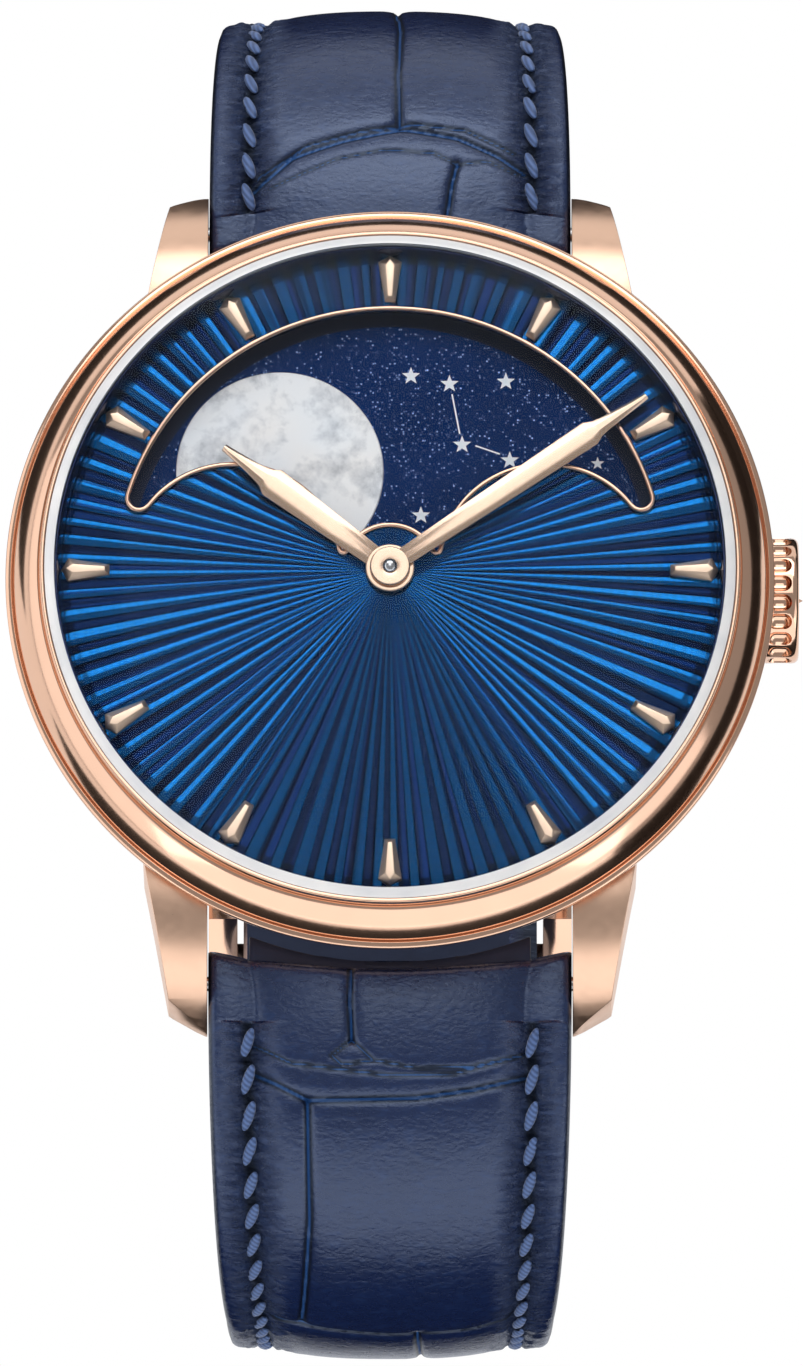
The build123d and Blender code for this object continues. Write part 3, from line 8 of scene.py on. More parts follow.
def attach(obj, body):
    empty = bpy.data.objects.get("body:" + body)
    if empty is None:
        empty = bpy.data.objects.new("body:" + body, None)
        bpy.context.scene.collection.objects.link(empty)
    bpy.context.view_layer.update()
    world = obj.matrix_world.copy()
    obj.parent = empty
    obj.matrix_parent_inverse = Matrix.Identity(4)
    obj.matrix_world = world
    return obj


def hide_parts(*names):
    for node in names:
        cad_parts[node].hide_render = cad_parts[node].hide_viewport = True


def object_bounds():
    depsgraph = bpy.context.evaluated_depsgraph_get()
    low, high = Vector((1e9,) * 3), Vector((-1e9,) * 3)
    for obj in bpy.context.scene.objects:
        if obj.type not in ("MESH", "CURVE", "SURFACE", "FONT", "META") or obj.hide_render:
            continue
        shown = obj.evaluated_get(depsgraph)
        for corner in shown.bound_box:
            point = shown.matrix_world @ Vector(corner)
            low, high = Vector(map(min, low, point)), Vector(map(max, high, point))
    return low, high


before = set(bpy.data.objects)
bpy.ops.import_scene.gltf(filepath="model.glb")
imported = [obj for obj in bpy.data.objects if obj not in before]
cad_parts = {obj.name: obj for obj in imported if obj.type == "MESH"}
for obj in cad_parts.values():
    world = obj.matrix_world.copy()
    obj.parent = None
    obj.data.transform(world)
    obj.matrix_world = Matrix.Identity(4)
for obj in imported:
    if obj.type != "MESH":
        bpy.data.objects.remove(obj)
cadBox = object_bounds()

mm = 0.001
merge = 1e-7  # points nearer than this are one point
print("frame loaded:", len(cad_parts), "nodes")


# small helpers that every piece uses

def done():
    bpy.ops.object.mode_set(mode="OBJECT")


def deselect():
    if bpy.context.object and bpy.context.object.mode == "EDIT":
        done()
    bpy.ops.object.select_all(action="DESELECT")


# makes a piece the active one, with nothing else selected
def hold(piece):
    deselect()
    bpy.context.view_layer.objects.active = piece
    piece.select_set(True)


def edit(piece, kind="VERT"):
    hold(piece)
    bpy.ops.object.mode_set(mode="EDIT")
    bpy.ops.mesh.select_mode(type=kind)


def selectAll():
    bpy.ops.mesh.select_all(action="SELECT")


def editAll(piece, kind="VERT"):
    edit(piece, kind)
    selectAll()


# picks the points, or the faces, that the test accepts; the piece is open for editing before and after
def pick(piece, test, kind="VERT"):
    bpy.ops.mesh.select_mode(type=kind)
    bpy.ops.mesh.select_all(action="DESELECT")
    done()
    for part in piece.data.polygons if kind == "FACE" else piece.data.vertices:
        part.select = test(part)
    bpy.ops.object.mode_set(mode="EDIT")


def slide(x=0, y=0, z=0):
    bpy.ops.transform.translate(value=(x * mm, y * mm, z * mm))


def scale(x=1, y=1, z=1):
    bpy.ops.transform.resize(value=(x, y, z), center_override=(0, 0, 0))


def push(x=0, y=0, z=0):
    bpy.ops.mesh.extrude_region_move(TRANSFORM_OT_translate={"value": (x * mm, y * mm, z * mm)})


def move(piece, x=0, y=0, z=0):
    editAll(piece)
    slide(x, y, z)
    done()


# degrees, anticlockwise seen from the axis' end
def turn(piece, degrees, axis="Z"):
    piece.data.transform(Matrix.Rotation(math.radians(degrees), 4, axis))


def modify(piece, kind, **settings):
    hold(piece)
    change = piece.modifiers.new(kind.title(), kind)
    for key, value in settings.items():
        setattr(change, key, value)
    bpy.ops.object.modifier_apply(modifier=change.name)


def soften(piece, width, segments=3, angle=30):
    modify(piece, "BEVEL", width=width * mm, segments=segments, limit_method="ANGLE", angle_limit=math.radians(angle))


def tidy(piece):
    editAll(piece)
    bpy.ops.mesh.remove_doubles(threshold=merge)
    bpy.ops.mesh.normals_make_consistent(inside=False)
    done()


def smooth(piece, angle=30):
    hold(piece)
    bpy.ops.object.shade_smooth_by_angle(angle=math.radians(angle))


def combine(piece, other, operation):
    modify(piece, "BOOLEAN", operation=operation, object=other, solver="EXACT")
    bpy.data.objects.remove(other)


def cutAway(piece, cutter):
    tidy(cutter)
    combine(piece, cutter, "DIFFERENCE")


def joined(name, pieces):
    hold(pieces[0])
    for piece in pieces[1:]:
        piece.select_set(True)
    bpy.ops.object.join()
    pieces[0].name = name
    return pieces[0]


def copied(piece):
    twin = piece.copy()
    twin.data = piece.data.copy()
    bpy.context.scene.collection.objects.link(twin)
    return twin


# lays a piece on its body, in the place of the CAD nodes that it stands for
def fit(piece, body, material, *nodes):
    piece.data.materials.clear()
    piece.data.materials.append(material)
    piece["finish"] = material.name
    if nodes:
        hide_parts(*nodes)
    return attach(piece, body)


# a flat plate or a block of the given size, open for editing with everything selected
def block(name, x, y, z=None):
    deselect()
    if z is None:
        bpy.ops.mesh.primitive_plane_add(size=1)
    else:
        bpy.ops.mesh.primitive_cube_add(size=1)
    piece = bpy.context.object
    piece.name = name
    editAll(piece)
    scale(x * mm, y * mm, 1 if z is None else z * mm)
    return piece


# a round bar on the Z axis, then laid at its place
def bar(radius, length, place, steps):
    deselect()
    bpy.ops.mesh.primitive_cylinder_add(vertices=steps, radius=radius * mm, depth=length * mm)
    rod = bpy.context.object
    rod.data.transform(place)
    return rod


def drill(piece, radius, length, x, y, z, steps):
    cutAway(piece, bar(radius, length, Matrix.Translation((x * mm, y * mm, z * mm)), steps))


# a turned shape: one circle, raised and widened ring by ring; a ring of radius 0 closes it at the axis
def turned(name, rings, steps=192, shut=True):
    deselect()
    before = rings[0]
    bpy.ops.mesh.primitive_circle_add(vertices=steps, radius=before[0] * mm, fill_type="NOTHING")
    piece = bpy.context.object
    piece.name = name
    editAll(piece)
    slide(z=before[1])
    for ring in rings[1:]:
        push(z=ring[1] - before[1])
        if ring[0] == 0:
            bpy.ops.mesh.merge(type="CENTER")
            break
        share = ring[0] / before[0]
        scale(share, share)
        before = ring
    if shut and rings[-1][0] == 0:  # the first ring is filled to the axis as well
        pick(piece, lambda point: point.index < steps)
        push()
        bpy.ops.mesh.merge(type="CENTER")
    elif shut:
        pick(piece, lambda point: point.index < steps or point.index >= len(piece.data.vertices) - steps)
        bpy.ops.mesh.select_mode(type="EDGE")
        bpy.ops.mesh.bridge_edge_loops()
    done()
    tidy(piece)
    return piece


# rings along an arc, from the first angle to the last, in degrees from the outward direction
def arcRings(radius, height, size, start, end, count):
    angles = [math.radians(start + (end - start) * index / count) for index in range(count + 1)]
    return [(radius + size * math.cos(angle), height + size * math.sin(angle)) for angle in angles]


# rings of a dome that is part of a ball on the axis, from its edge to its top
def domeRings(edge, low, top, count):
    rise = top - low
    ball = (edge * edge + rise * rise) / (2 * rise)
    radii = [edge * math.cos(math.pi / 2 * index / count) for index in range(count)] + [0]
    return [(radius, top - ball + math.sqrt(ball * ball - radius * radius)) for radius in radii]


cameraValues = {
    "distance": 1800.0, "elevation": 73.5, "frameHeight": 74.64,  # height of the view at the hand post
    "aimX": 0.63, "aimDown": 6.5, "postTop": 10.1, "sensor": 36, "clip": (0.01, 20),
}


def makeCamera():
    c = cameraValues
    lean = math.radians(c["elevation"])
    back = Vector((0, -math.cos(lean), math.sin(lean)))
    up = Vector((0, math.sin(lean), math.cos(lean)))
    aim = Vector((c["aimX"], 0, c["postTop"])) - up * c["aimDown"]
    bpy.ops.object.camera_add(location=(aim + back * c["distance"]) * mm)
    camera = bpy.context.object
    camera.rotation_mode = "QUATERNION"
    camera.rotation_quaternion = (-back).to_track_quat("-Z", "Y")
    camera.data.sensor_width = c["sensor"]
    camera.data.lens = c["sensor"] * c["distance"] / c["frameHeight"]
    camera.data.clip_start, camera.data.clip_end = c["clip"]
    bpy.context.scene.camera = camera


stageValues = {
    "floorSize": 4000.0, "floorColour": (0.86, 0.86, 0.86, 1), "floorRoughness": 0.9, "floorGloss": 0.1,
    "floorShown": 0.75, "worldShown": 0.12, "world": 0.24, "cardColour": (0.01, 0.008, 0.007, 1),
    "lamps": {  # each with its place, its size and its power in watts
        "keyBox": ((0, 440, 410), (620, 330), 1.5),
        "frontBox": ((0, -700, 230), (1700, 600), 3.3),
        "topBox": ((0, 224, 768), (420, 520), 0.86),
        "fillBox": ((0, -100, 900), (500, 500), 0.8),
        "leftBox": ((-700, -60, 290), (1300, 600), 2.1),
        "rightBox": ((650, -400, 330), (520, 500), 0.75),
        "lowBox": ((0, 900, 110), (1200, 240), 0.5),
    },
    "cards": [  # name, place with the height over the floor, size, and degrees about Y
        ("darkCard", (120.0, 0, 24.0), (48.0, 230.0), 90),
        ("floorCard", (0, 95.0, 1.0), (500.0, 120.0), 0),
        ("floorCard", (0, -190.0, 1.0), (500.0, 300.0), 0),
    ],
}


def lamp(name, place, size, power):
    bpy.ops.object.light_add(type="AREA", location=[c * mm for c in place])
    light = bpy.context.object
    light.name = name
    light.data.shape = "RECTANGLE"
    light.data.size, light.data.size_y = size[0] * mm, size[1] * mm
    light.data.energy = power
    light.rotation_mode = "QUATERNION"
    light.rotation_quaternion = (-Vector(place)).to_track_quat("-Z", "Y")
    light.visible_camera = False
    light.visible_glossy = name != "fillBox"


# a dark card that only the shine on the pieces sees
def darkCard(name, place, size, lean, paint):
    deselect()
    bpy.ops.mesh.primitive_plane_add(size=1)
    card = bpy.context.object
    card.name = name
    card.scale = (size[0] * mm, size[1] * mm, 1)
    card.rotation_euler = (0, math.radians(lean), 0)
    card.location = (place[0] * mm, place[1] * mm, cadBox[0].z + place[2] * mm)
    card.visible_camera = card.visible_shadow = card.visible_diffuse = card.visible_transmission = False
    card.data.materials.append(paint)


def stagePaint(name, colour, roughness):
    paint = bpy.data.materials.new(name)
    paint.use_nodes = True
    inputs = paint.node_tree.nodes["Principled BSDF"].inputs
    inputs["Base Color"].default_value, inputs["Roughness"].default_value = colour, roughness
    return paint


# shows white to rays that see the background: camera and glass all of it, metal and gloss the given share
def whiten(tree, shader, white, shown, end):
    path = tree.nodes.new("ShaderNodeLightPath").outputs
    seen, shine, share = [tree.nodes.new("ShaderNodeMath") for step in range(3)]
    seen.operation, shine.operation, share.operation = "MAXIMUM", "MULTIPLY", "MAXIMUM"
    shine.inputs[1].default_value = shown
    both = tree.nodes.new("ShaderNodeMixShader")
    for start, socket in (
        (path["Is Camera Ray"], seen.inputs[0]), (path["Is Transmission Ray"], seen.inputs[1]),
        (path["Is Glossy Ray"], shine.inputs[0]), (seen.outputs[0], share.inputs[0]),
        (shine.outputs[0], share.inputs[1]), (share.outputs[0], both.inputs["Fac"]),
        (shader.outputs[0], both.inputs[1]), (white.outputs[0], both.inputs[2]),
        (both.outputs[0], tree.nodes[end].inputs["Surface"]),
    ):
        tree.links.new(start, socket)


def makeStage():
    s = stageValues
    deselect()
    bpy.ops.mesh.primitive_plane_add(size=s["floorSize"] * mm, location=(0, 0, cadBox[0].z))
    floor = bpy.context.object
    floor.name = "studioFloor"
    paint = stagePaint("studioPaper", s["floorColour"], s["floorRoughness"])
    tree = paint.node_tree
    base = tree.nodes["Principled BSDF"]
    base.inputs["Specular IOR Level"].default_value = s["floorGloss"]
    whiten(tree, base, tree.nodes.new("ShaderNodeEmission"), s["floorShown"], "Material Output")
    floor.data.materials.append(paint)

    world = bpy.data.worlds.new("studio")
    bpy.context.scene.world = world
    world.use_nodes = True
    sky = world.node_tree
    air, white = sky.nodes["Background"], sky.nodes.new("ShaderNodeBackground")
    for light, strength in ((air, s["world"]), (white, 1.0)):
        light.inputs["Color"].default_value = (1, 1, 1, 1)
        light.inputs["Strength"].default_value = strength
    whiten(sky, air, white, s["worldShown"], "World Output")

    for name, values in s["lamps"].items():
        lamp(name, *values)
    black = stagePaint("cardBlack", s["cardColour"], 1.0)
    for card in s["cards"]:
        darkCard(*card, black)
    bpy.context.scene.view_settings.view_transform = "Standard"


makeCamera()
makeStage()
print("stage made")


# a material with its main shader and short ways to add and link nodes
class Finish:
    def __init__(self, name, colour, **settings):
        self.material = bpy.data.materials.new(name)
        self.material.use_nodes = True
        self.tree = self.material.node_tree
        self.main = self.tree.nodes["Principled BSDF"]
        self.places = None
        for key, value in {"Base_Color": (*colour, 1), "Roughness": 0.4, **settings}.items():
            self.set(key.replace("_", " "), value)

    def set(self, name, value):
        self.main.inputs[name].default_value = value

    def drive(self, name, value):
        self.link(value, self.main.inputs[name])

    def node(self, kind, **settings):
        made = self.tree.nodes.new("ShaderNode" + kind)
        for key, value in settings.items():
            setattr(made, key, value)
        return made

    def link(self, start, end):
        self.tree.links.new(start, end)

    # puts a number or a colour on a socket, or links another node's output to it
    def feed(self, socket, value):
        if isinstance(value, (int, float)):
            socket.default_value = value
        elif isinstance(value, tuple):
            socket.default_value = (*value, 1)
        else:
            self.link(value, socket)

    def coordinates(self, stretch=(1, 1, 1), lean=0):
        self.places = self.places or self.node("TexCoord")
        mapping = self.node("Mapping")
        mapping.inputs["Scale"].default_value = stretch
        mapping.inputs["Rotation"].default_value = (0, 0, math.radians(lean))
        self.link(self.places.outputs["Object"], mapping.inputs["Vector"])
        return mapping.outputs["Vector"]

    # a texture on object coordinates; an input's name is written with _ for a space
    def pattern(self, kind, stretch=(1, 1, 1), lean=0, settings=(), **inputs):
        made = self.node(kind, **dict(settings))
        for key, value in inputs.items():
            made.inputs[key.replace("_", " ")].default_value = value
        self.link(self.coordinates(stretch, lean), made.inputs["Vector"])
        return made

    # size in mm is how far apart the pattern's features are
    def noise(self, size, detail=3.0, roughness=0.5, stretch=(1, 1, 1), distortion=0.0):
        return self.pattern("TexNoise", stretch, Scale=1 / (size * mm), Detail=detail, Roughness=roughness,
                            Distortion=distortion).outputs["Fac"]

    def cells(self, size, stretch=(1, 1, 1), output="Distance", randomness=1.0):
        return self.pattern("TexVoronoi", stretch, Scale=1 / (size * mm), Randomness=randomness).outputs[output]

    def wave(self, scale, lean=0, distortion=0.0, fineness=1.0, **settings):
        return self.pattern("TexWave", (1, 1, 1), lean, settings, Scale=scale, Distortion=distortion,
                            Detail_Scale=fineness).outputs["Fac"]

    def ramp(self, value, *stops):
        made = self.node("ValToRGB")
        points = made.color_ramp.elements
        while len(points) < len(stops):
            points.new(0.5)
        for point, (place, colour) in zip(points, stops):
            point.position = place
            point.color = (*colour, 1) if isinstance(colour, tuple) else (colour, colour, colour, 1)
        self.link(value, made.inputs["Fac"])
        return made.outputs["Color"]

    def sum(self, kind, first, second):
        made = self.node("Math", operation=kind)
        for socket, value in zip(made.inputs, (first, second)):
            self.feed(socket, value)
        return made.outputs[0]

    def blend(self, share, first, second, kind="MIX"):
        made = self.node("Mix", data_type="RGBA", blend_type=kind)
        for index, value in ((0, share), (6, first), (7, second)):  # the colour sockets are 6 and 7
            self.feed(made.inputs[index], value)
        return made.outputs[2]

    def spread(self, value, low, high):
        made = self.node("MapRange")
        self.link(value, made.inputs["Value"])
        made.inputs["To Min"].default_value, made.inputs["To Max"].default_value = low, high
        return made.outputs["Result"]

    # depth in mm is how high the pattern stands
    def bump(self, height, depth, strength=1.0):
        made = self.node("Bump")
        made.inputs["Strength"].default_value, made.inputs["Distance"].default_value = strength, depth * mm
        self.link(height, made.inputs["Height"])
        normal = self.main.inputs["Normal"]
        if normal.is_linked:
            self.link(normal.links[0].from_socket, made.inputs["Normal"])
        self.link(made.outputs["Normal"], normal)


# a plain finish: tone is a pattern's size in mm, its detail and its two colours, rough the same with two
# roughnesses, and relief the same with the depth in mm and the strength
def plainFinish(name, colour, tone=None, rough=None, relief=None, **settings):
    f = Finish(name, colour, **settings)
    if tone:
        f.drive("Base Color", f.blend(f.noise(*tone[:2]), *tone[2:]))
    if rough:
        f.drive("Roughness", f.spread(f.noise(*rough[:2]), *rough[2:]))
    if relief:
        f.bump(f.noise(*relief[:2]), *relief[2:])
    return f.material


# a darker and a brighter tone of a colour
def tones(colour, low, high):
    return tuple(c * low for c in colour), tuple(min(1, c * high) for c in colour)


def polishedGold(name, roughness=0.10, colour=(0.86, 0.55, 0.40)):
    return plainFinish(name, colour, (3.5, 2, *tones(colour, 0.94, 1.05)),
                       (0.5, 4, roughness * 0.8, roughness * 1.35), (0.9, 2, 0.0015, 0.5),
                       Metallic=1.0, Roughness=roughness)


def polishedSteel(name, roughness=0.12, colour=(0.62, 0.63, 0.65)):
    return plainFinish(name, colour, (1.5, 3, *tones(colour, 0.92, 1.06)),
                       (0.25, 4, roughness * 0.8, roughness * 1.4), Metallic=1.0, Roughness=roughness)


def clearSapphire(name, gloss=0.03, shineTint=(0.9, 0.95, 1.0), shineIndex=1.14, tint=(0.985, 0.99, 1.0)):
    f = Finish(name, (1, 1, 1), Roughness=0.0, IOR=1.45, Transmission_Weight=1.0)
    clear, shine = f.node("BsdfTransparent"), f.node("BsdfGlossy")
    shine.inputs["Roughness"].default_value = gloss
    shine.inputs["Color"].default_value = (*shineTint, 1)
    edge = f.node("Fresnel")
    edge.inputs["IOR"].default_value = shineIndex
    both = f.node("MixShader")
    for socket, part in zip(both.inputs, (edge, clear, shine)):
        f.link(part.outputs[0], socket)
    f.link(f.ramp(f.noise(6.0), (0.3, tint), (0.8, (1.0, 1.0, 1.0))), clear.inputs["Color"])
    f.link(both.outputs[0], f.tree.nodes["Material Output"].inputs["Surface"])
    return f.material


# a painted reflection: the crystal's chamfered edge gets a near-white colour with paler and greyer bands, in place of
# the light that the clear sapphire's edge reflects and bends
def paintedShineEdge(name):
    f = Finish(name, (0.9, 0.9, 0.92), Roughness=0.2, Specular_IOR_Level=0.6, Coat_Weight=0.5, Coat_Roughness=0.05)
    shineBands = f.noise(2.6, detail=2.0)
    f.drive("Base Color", f.ramp(shineBands, (0.3, (0.78, 0.79, 0.82)), (0.7, (0.97, 0.96, 0.95))))
    return f.material


# the dial's blue; the piece's own attribute marks the faces that slope gently round the axis, and these get a painted
# highlight, a brighter cyan blue in place of the light they reflect
def flutedBlue(name, rayCount=34, rayDetail=3):
    f = Finish(name, (0.003, 0.03, 0.18), Metallic=0.75, Roughness=0.18, Specular_IOR_Level=0.1)
    facetHighlight = f.node("Attribute", attribute_name="facetHighlight").outputs["Fac"]
    grain = f.noise(0.10)
    ticks = f.wave(700, distortion=6.0, fineness=3.0, wave_type="RINGS", rings_direction="Z")
    place = f.node("SeparateXYZ")
    f.link(f.coordinates(), place.inputs[0])
    rays = f.node("TexNoise", noise_dimensions="1D")  # fine lines out from the middle
    rays.inputs["Scale"].default_value, rays.inputs["Detail"].default_value = rayCount, rayDetail
    f.link(f.sum("ARCTAN2", place.outputs["Y"], place.outputs["X"]), rays.inputs["W"])
    lines = rays.outputs["Fac"]
    # fine rings, grain and the rays break up the painted highlight
    highlightStreaks = f.sum("MULTIPLY", f.spread(ticks, 0.72, 1.0), f.spread(grain, 0.8, 1.1))
    highlightStreaks = f.sum("MULTIPLY", highlightStreaks, f.ramp(lines, (0.34, 0.1), (0.42, 0.85), (0.6, 1.0)))
    dark = f.ramp(lines, (0.40, 0.0), (0.50, 0.2), (0.58, 1.0))
    navy = f.blend(dark, (0.0002, 0.0022, 0.018), (0.0013, 0.016, 0.09))
    # the painted highlight's colour, from a dim to a bright cyan blue
    paintedHighlight = f.blend(highlightStreaks, (0.001, 0.015, 0.08), (0.004, 0.145, 0.42))
    f.drive("Base Color", f.blend(facetHighlight, navy, paintedHighlight))
    f.drive("Roughness", f.spread(grain, 0.08, 0.15))
    f.bump(grain, 0.001, 0.4)
    return f.material


# dark glass with flecks: how far apart they lie in mm, how large they are and how rare
def aventurine(name, pitch=0.13, size=0.42, rare=0.66):
    f = Finish(name, (0.003, 0.011, 0.07), Roughness=0.3, Specular_IOR_Level=0.0)
    deep = f.blend(f.noise(3.0), (0.0016, 0.014, 0.075), (0.0036, 0.028, 0.14))
    part = f.node("SeparateColor")
    f.link(f.cells(pitch, output="Color"), part.inputs["Color"])
    dot = f.sum("LESS_THAN", f.cells(pitch), size)
    chosen = f.sum("GREATER_THAN", part.outputs["Red"], rare)
    fleck = f.sum("MULTIPLY", f.sum("MULTIPLY", dot, chosen), f.sum("POWER", part.outputs["Green"], 2.5))
    f.drive("Base Color", f.blend(fleck, deep, (0.32, 0.52, 1.0)))
    f.drive("Roughness", f.spread(fleck, 0.34, 0.5))
    return f.material


def motherOfPearl(name):
    f = Finish(name, (0.93, 0.94, 0.95), Roughness=0.25, Coat_Weight=0.7, Coat_Roughness=0.06, Sheen_Weight=0.15)
    clouds = f.noise(3.6, detail=8.0, roughness=0.6, distortion=0.3)
    fine = f.noise(0.7, detail=6.0, roughness=0.6)
    both = f.sum("ADD", f.sum("MULTIPLY", clouds, 0.72), f.sum("MULTIPLY", fine, 0.28))
    shade = f.ramp(both, (0.36, (0.42, 0.44, 0.47)), (0.46, (0.76, 0.77, 0.79)), (0.53, (1.0, 1.0, 1.0)))
    tint = f.ramp(f.noise(4.5, detail=2.0), (0.35, (0.93, 0.97, 1.0)), (0.65, (1.0, 0.98, 0.95)))
    f.drive("Base Color", f.blend(1.0, shade, tint, "MULTIPLY"))
    f.bump(fine, 0.01, 0.3)
    return f.material


def brushedBrass(name, colour=(0.72, 0.50, 0.24), roughness=0.26):
    f = Finish(name, colour, Metallic=1.0, Roughness=roughness)
    rings = f.wave(1400, distortion=1.0, wave_type="RINGS", rings_direction="Z")
    f.drive("Base Color", f.blend(f.noise(0.8), *tones(colour, 0.88, 1.1)))
    f.drive("Roughness", f.spread(rings, roughness * 0.8, roughness * 1.3))
    f.bump(rings, 0.002, 0.4)
    return f.material


# plated bridges with straight polished stripes, their width in mm
def stripedPlate(name, colour=(0.60, 0.60, 0.61), stripe=1.5, lean=25):
    f = Finish(name, colour, Metallic=1.0, Roughness=0.24)
    look = {"wave_type": "BANDS", "bands_direction": "X", "wave_profile": "SAW"}
    stripes = f.wave(1 / (stripe * mm) / (2 * math.pi), lean=lean, **look)
    grain = f.noise(0.08, stretch=(1, 0.1, 1))
    f.drive("Base Color", f.blend(stripes, *tones(colour, 0.78, 1.15)))
    f.drive("Roughness", f.spread(grain, 0.18, 0.34))
    f.bump(stripes, 0.02, 0.5)
    f.bump(grain, 0.003, 0.4)
    return f.material


# plates with small overlapping polished circles
def circledPlate(name, colour=(0.58, 0.58, 0.59), circle=0.9):
    f = Finish(name, colour, Metallic=1.0, Roughness=0.26)
    circles = f.cells(circle, randomness=0.0, stretch=(1, 1, 0))
    f.drive("Base Color", f.blend(circles, *reversed(tones(colour, 0.8, 1.12))))
    f.drive("Roughness", f.spread(circles, 0.18, 0.36))
    f.bump(f.sum("SINE", f.sum("MULTIPLY", circles, 60.0), 0.0), 0.002, 0.4)
    return f.material


# blue leather; the piece's own attributes say where painted shade darkens the creases, stitch holes and the seam's
# groove, where the edges are painted dark, and where the seam puckers it; raised wrinkles and the puckered places get
# a painted sheen
def blueLeather(name, colour=(0.0018, 0.008, 0.040), paintedSheen=(0.010, 0.036, 0.125)):
    f = Finish(name, colour, Specular_IOR_Level=0.9, Specular_Tint=(0.55, 0.70, 1.0, 1), Coat_Roughness=0.20,
               Coat_Tint=(0.72, 0.82, 1.0, 1))
    hollow, pucker = [f.node("Attribute", attribute_name=mark).outputs["Fac"] for mark in ("hollow", "pucker")]
    mottled = f.noise(2.6, detail=5.0, roughness=0.6)
    pores = f.cells(0.33, stretch=(1.0, 1.5, 1.0))
    wrinkles = f.noise(0.55, detail=6.0, roughness=0.65, stretch=(0.7, 1.5, 1.2), distortion=0.5)
    gathers = f.noise(1.0, detail=6.0, roughness=0.75, stretch=(0.5, 1.8, 1.8), distortion=1.2)
    tone = f.blend(f.spread(mottled, 0.0, 1.0), colour, tuple(c * 1.7 for c in colour))
    # painted sheen: the raised wrinkles, and the gathers where the seam puckers the leather, get a paler blue in place
    # of their highlights
    tone = f.blend(f.ramp(wrinkles, (0.52, 0.0), (0.72, 0.5)), tone, paintedSheen)
    tone = f.blend(f.sum("MULTIPLY", pucker, f.ramp(gathers, (0.5, 0.0), (0.62, 0.8))), tone, paintedSheen)
    # painted shade: the flanks of the creases, the stitch holes and the seam's groove go near black, as do the edges
    # and sides, which is their edge paint
    tone = f.blend(f.ramp(hollow, (0.0, 0.0), (0.3, 1.0), (0.6, 0.9), (0.85, 0.0)), tone, (0.0006, 0.002, 0.009))
    # the floor of a deep crease is a lighter blue
    f.drive("Base Color", f.blend(f.ramp(hollow, (0.6, 0.0), (0.85, 0.75), (1.0, 1.0)), tone, (0.016, 0.085, 0.27)))
    f.drive("Roughness", f.sum("ADD", f.spread(wrinkles, 0.22, 0.34), f.sum("MULTIPLY", hollow, 0.2)))
    f.drive("Coat Weight", f.ramp(hollow, (0.0, 0.5), (0.4, 0.05)))
    f.bump(f.noise(5.0, detail=2.0), 0.18, 0.6)
    f.bump(wrinkles, 0.045, 0.9)
    f.bump(f.sum("MULTIPLY", pucker, gathers), 0.60)
    f.bump(pores, 0.02, 0.6)
    f.link(f.main.inputs["Normal"].links[0].from_socket, f.main.inputs["Coat Normal"])
    return f.material


def waxedThread(name):
    f = Finish(name, (0.03, 0.075, 0.22), Roughness=0.5, Sheen_Weight=0.3)
    # the twist's bands are partly the real plies, partly painted light: a lighter blue for the highlight on each ply,
    # a darker one for the shade between them
    twistAndShading = f.wave(1500, wave_type="BANDS", bands_direction="DIAGONAL")
    f.drive("Base Color", f.blend(twistAndShading, (0.035, 0.075, 0.20), (0.10, 0.18, 0.42)))
    f.bump(twistAndShading, 0.03, 0.6)
    return f.material


finishes = {
    "polished": polishedGold("polishedGold"),
    "bezel": polishedGold("bezelGold", 0.12),
    "marker": polishedGold("markerGold", 0.36, (0.95, 0.71, 0.53)),
    "case": polishedGold("caseGold", 0.30, (0.88, 0.58, 0.42)),
    "handGold": polishedGold("handGold", 0.20, (0.84, 0.60, 0.44)),
    "crystal": clearSapphire("clearSapphire"),
    "crystalEdge": paintedShineEdge("sapphireEdgePaintedShine"),
    "dial": flutedBlue("flutedBlue"),
    "flange": plainFinish(
        "polishedNavy", (0.002, 0.012, 0.07), (4.0, 3, (0.001, 0.008, 0.05), (0.003, 0.02, 0.1)),
        (0.6, 3, 0.05, 0.12), Metallic=0.85, Roughness=0.07, Coat_Weight=0.6, Coat_Roughness=0.03),
    "aventurine": aventurine("aventurineGlass"),
    "pearl": motherOfPearl("motherOfPearl"),
    "print": plainFinish(
        "starPrint", (0.8, 0.85, 0.9), (0.2, 3, (0.75, 0.82, 0.88), (0.93, 0.96, 0.98)), Roughness=0.45),
    "steel": polishedSteel("polishedSteel"),
    "darkSteel": polishedSteel("springSteel", 0.25, (0.34, 0.35, 0.38)),
    "blued": polishedSteel("bluedSteel", 0.2, (0.03, 0.06, 0.30)),
    "brass": brushedBrass("giltBrass"),
    "darkPlate": plainFinish(
        "darkPlate", (0.002, 0.008, 0.040), (1.2, 3, (0.0015, 0.006, 0.030), (0.003, 0.012, 0.050)),
        (0.3, 3, 0.35, 0.5), Metallic=0.6),
    "striped": stripedPlate("stripedPlate"),
    "circled": circledPlate("circledPlate"),
    "ruby": plainFinish(
        "rubyStone", (0.45, 0.004, 0.03), (0.3, 3, (0.32, 0.002, 0.02), (0.6, 0.01, 0.06)), Roughness=0.08,
        Transmission_Weight=0.25, IOR=1.7),
    "gasket": plainFinish(
        "gasketBlack", (0.012, 0.012, 0.013), None, (0.3, 3, 0.5, 0.75), (0.15, 4, 0.006, 0.5), Roughness=0.6),
    "leather": blueLeather("blueLeather"),
    "lining": plainFinish(
        "leatherLining", (0.012, 0.022, 0.06), (1.8, 4, (0.008, 0.014, 0.042), (0.02, 0.036, 0.09)),
        relief=(0.25, 5, 0.02, 0.6), Roughness=0.6),
    "thread": waxedThread("waxedThread"),
}
print("finishes made:", len(finishes))


bezelValues = {
    "outer": 21.05, "foot": 6.9, "rimBevel": 0.15, "rimHeight": 0.45, "stepRadius": 20.67, "stepHeight": 7.45,
    "bulge": 0.118794, "bulgeSteps": 8, "ringRadius": 19.28, "ringHeight": 9.28, "groove": 0.09,
    "lipRadius": 18.93, "lipTop": 9.8, "lipBevel": 0.2, "bore": 19.32, "bevel": 0.05,
}


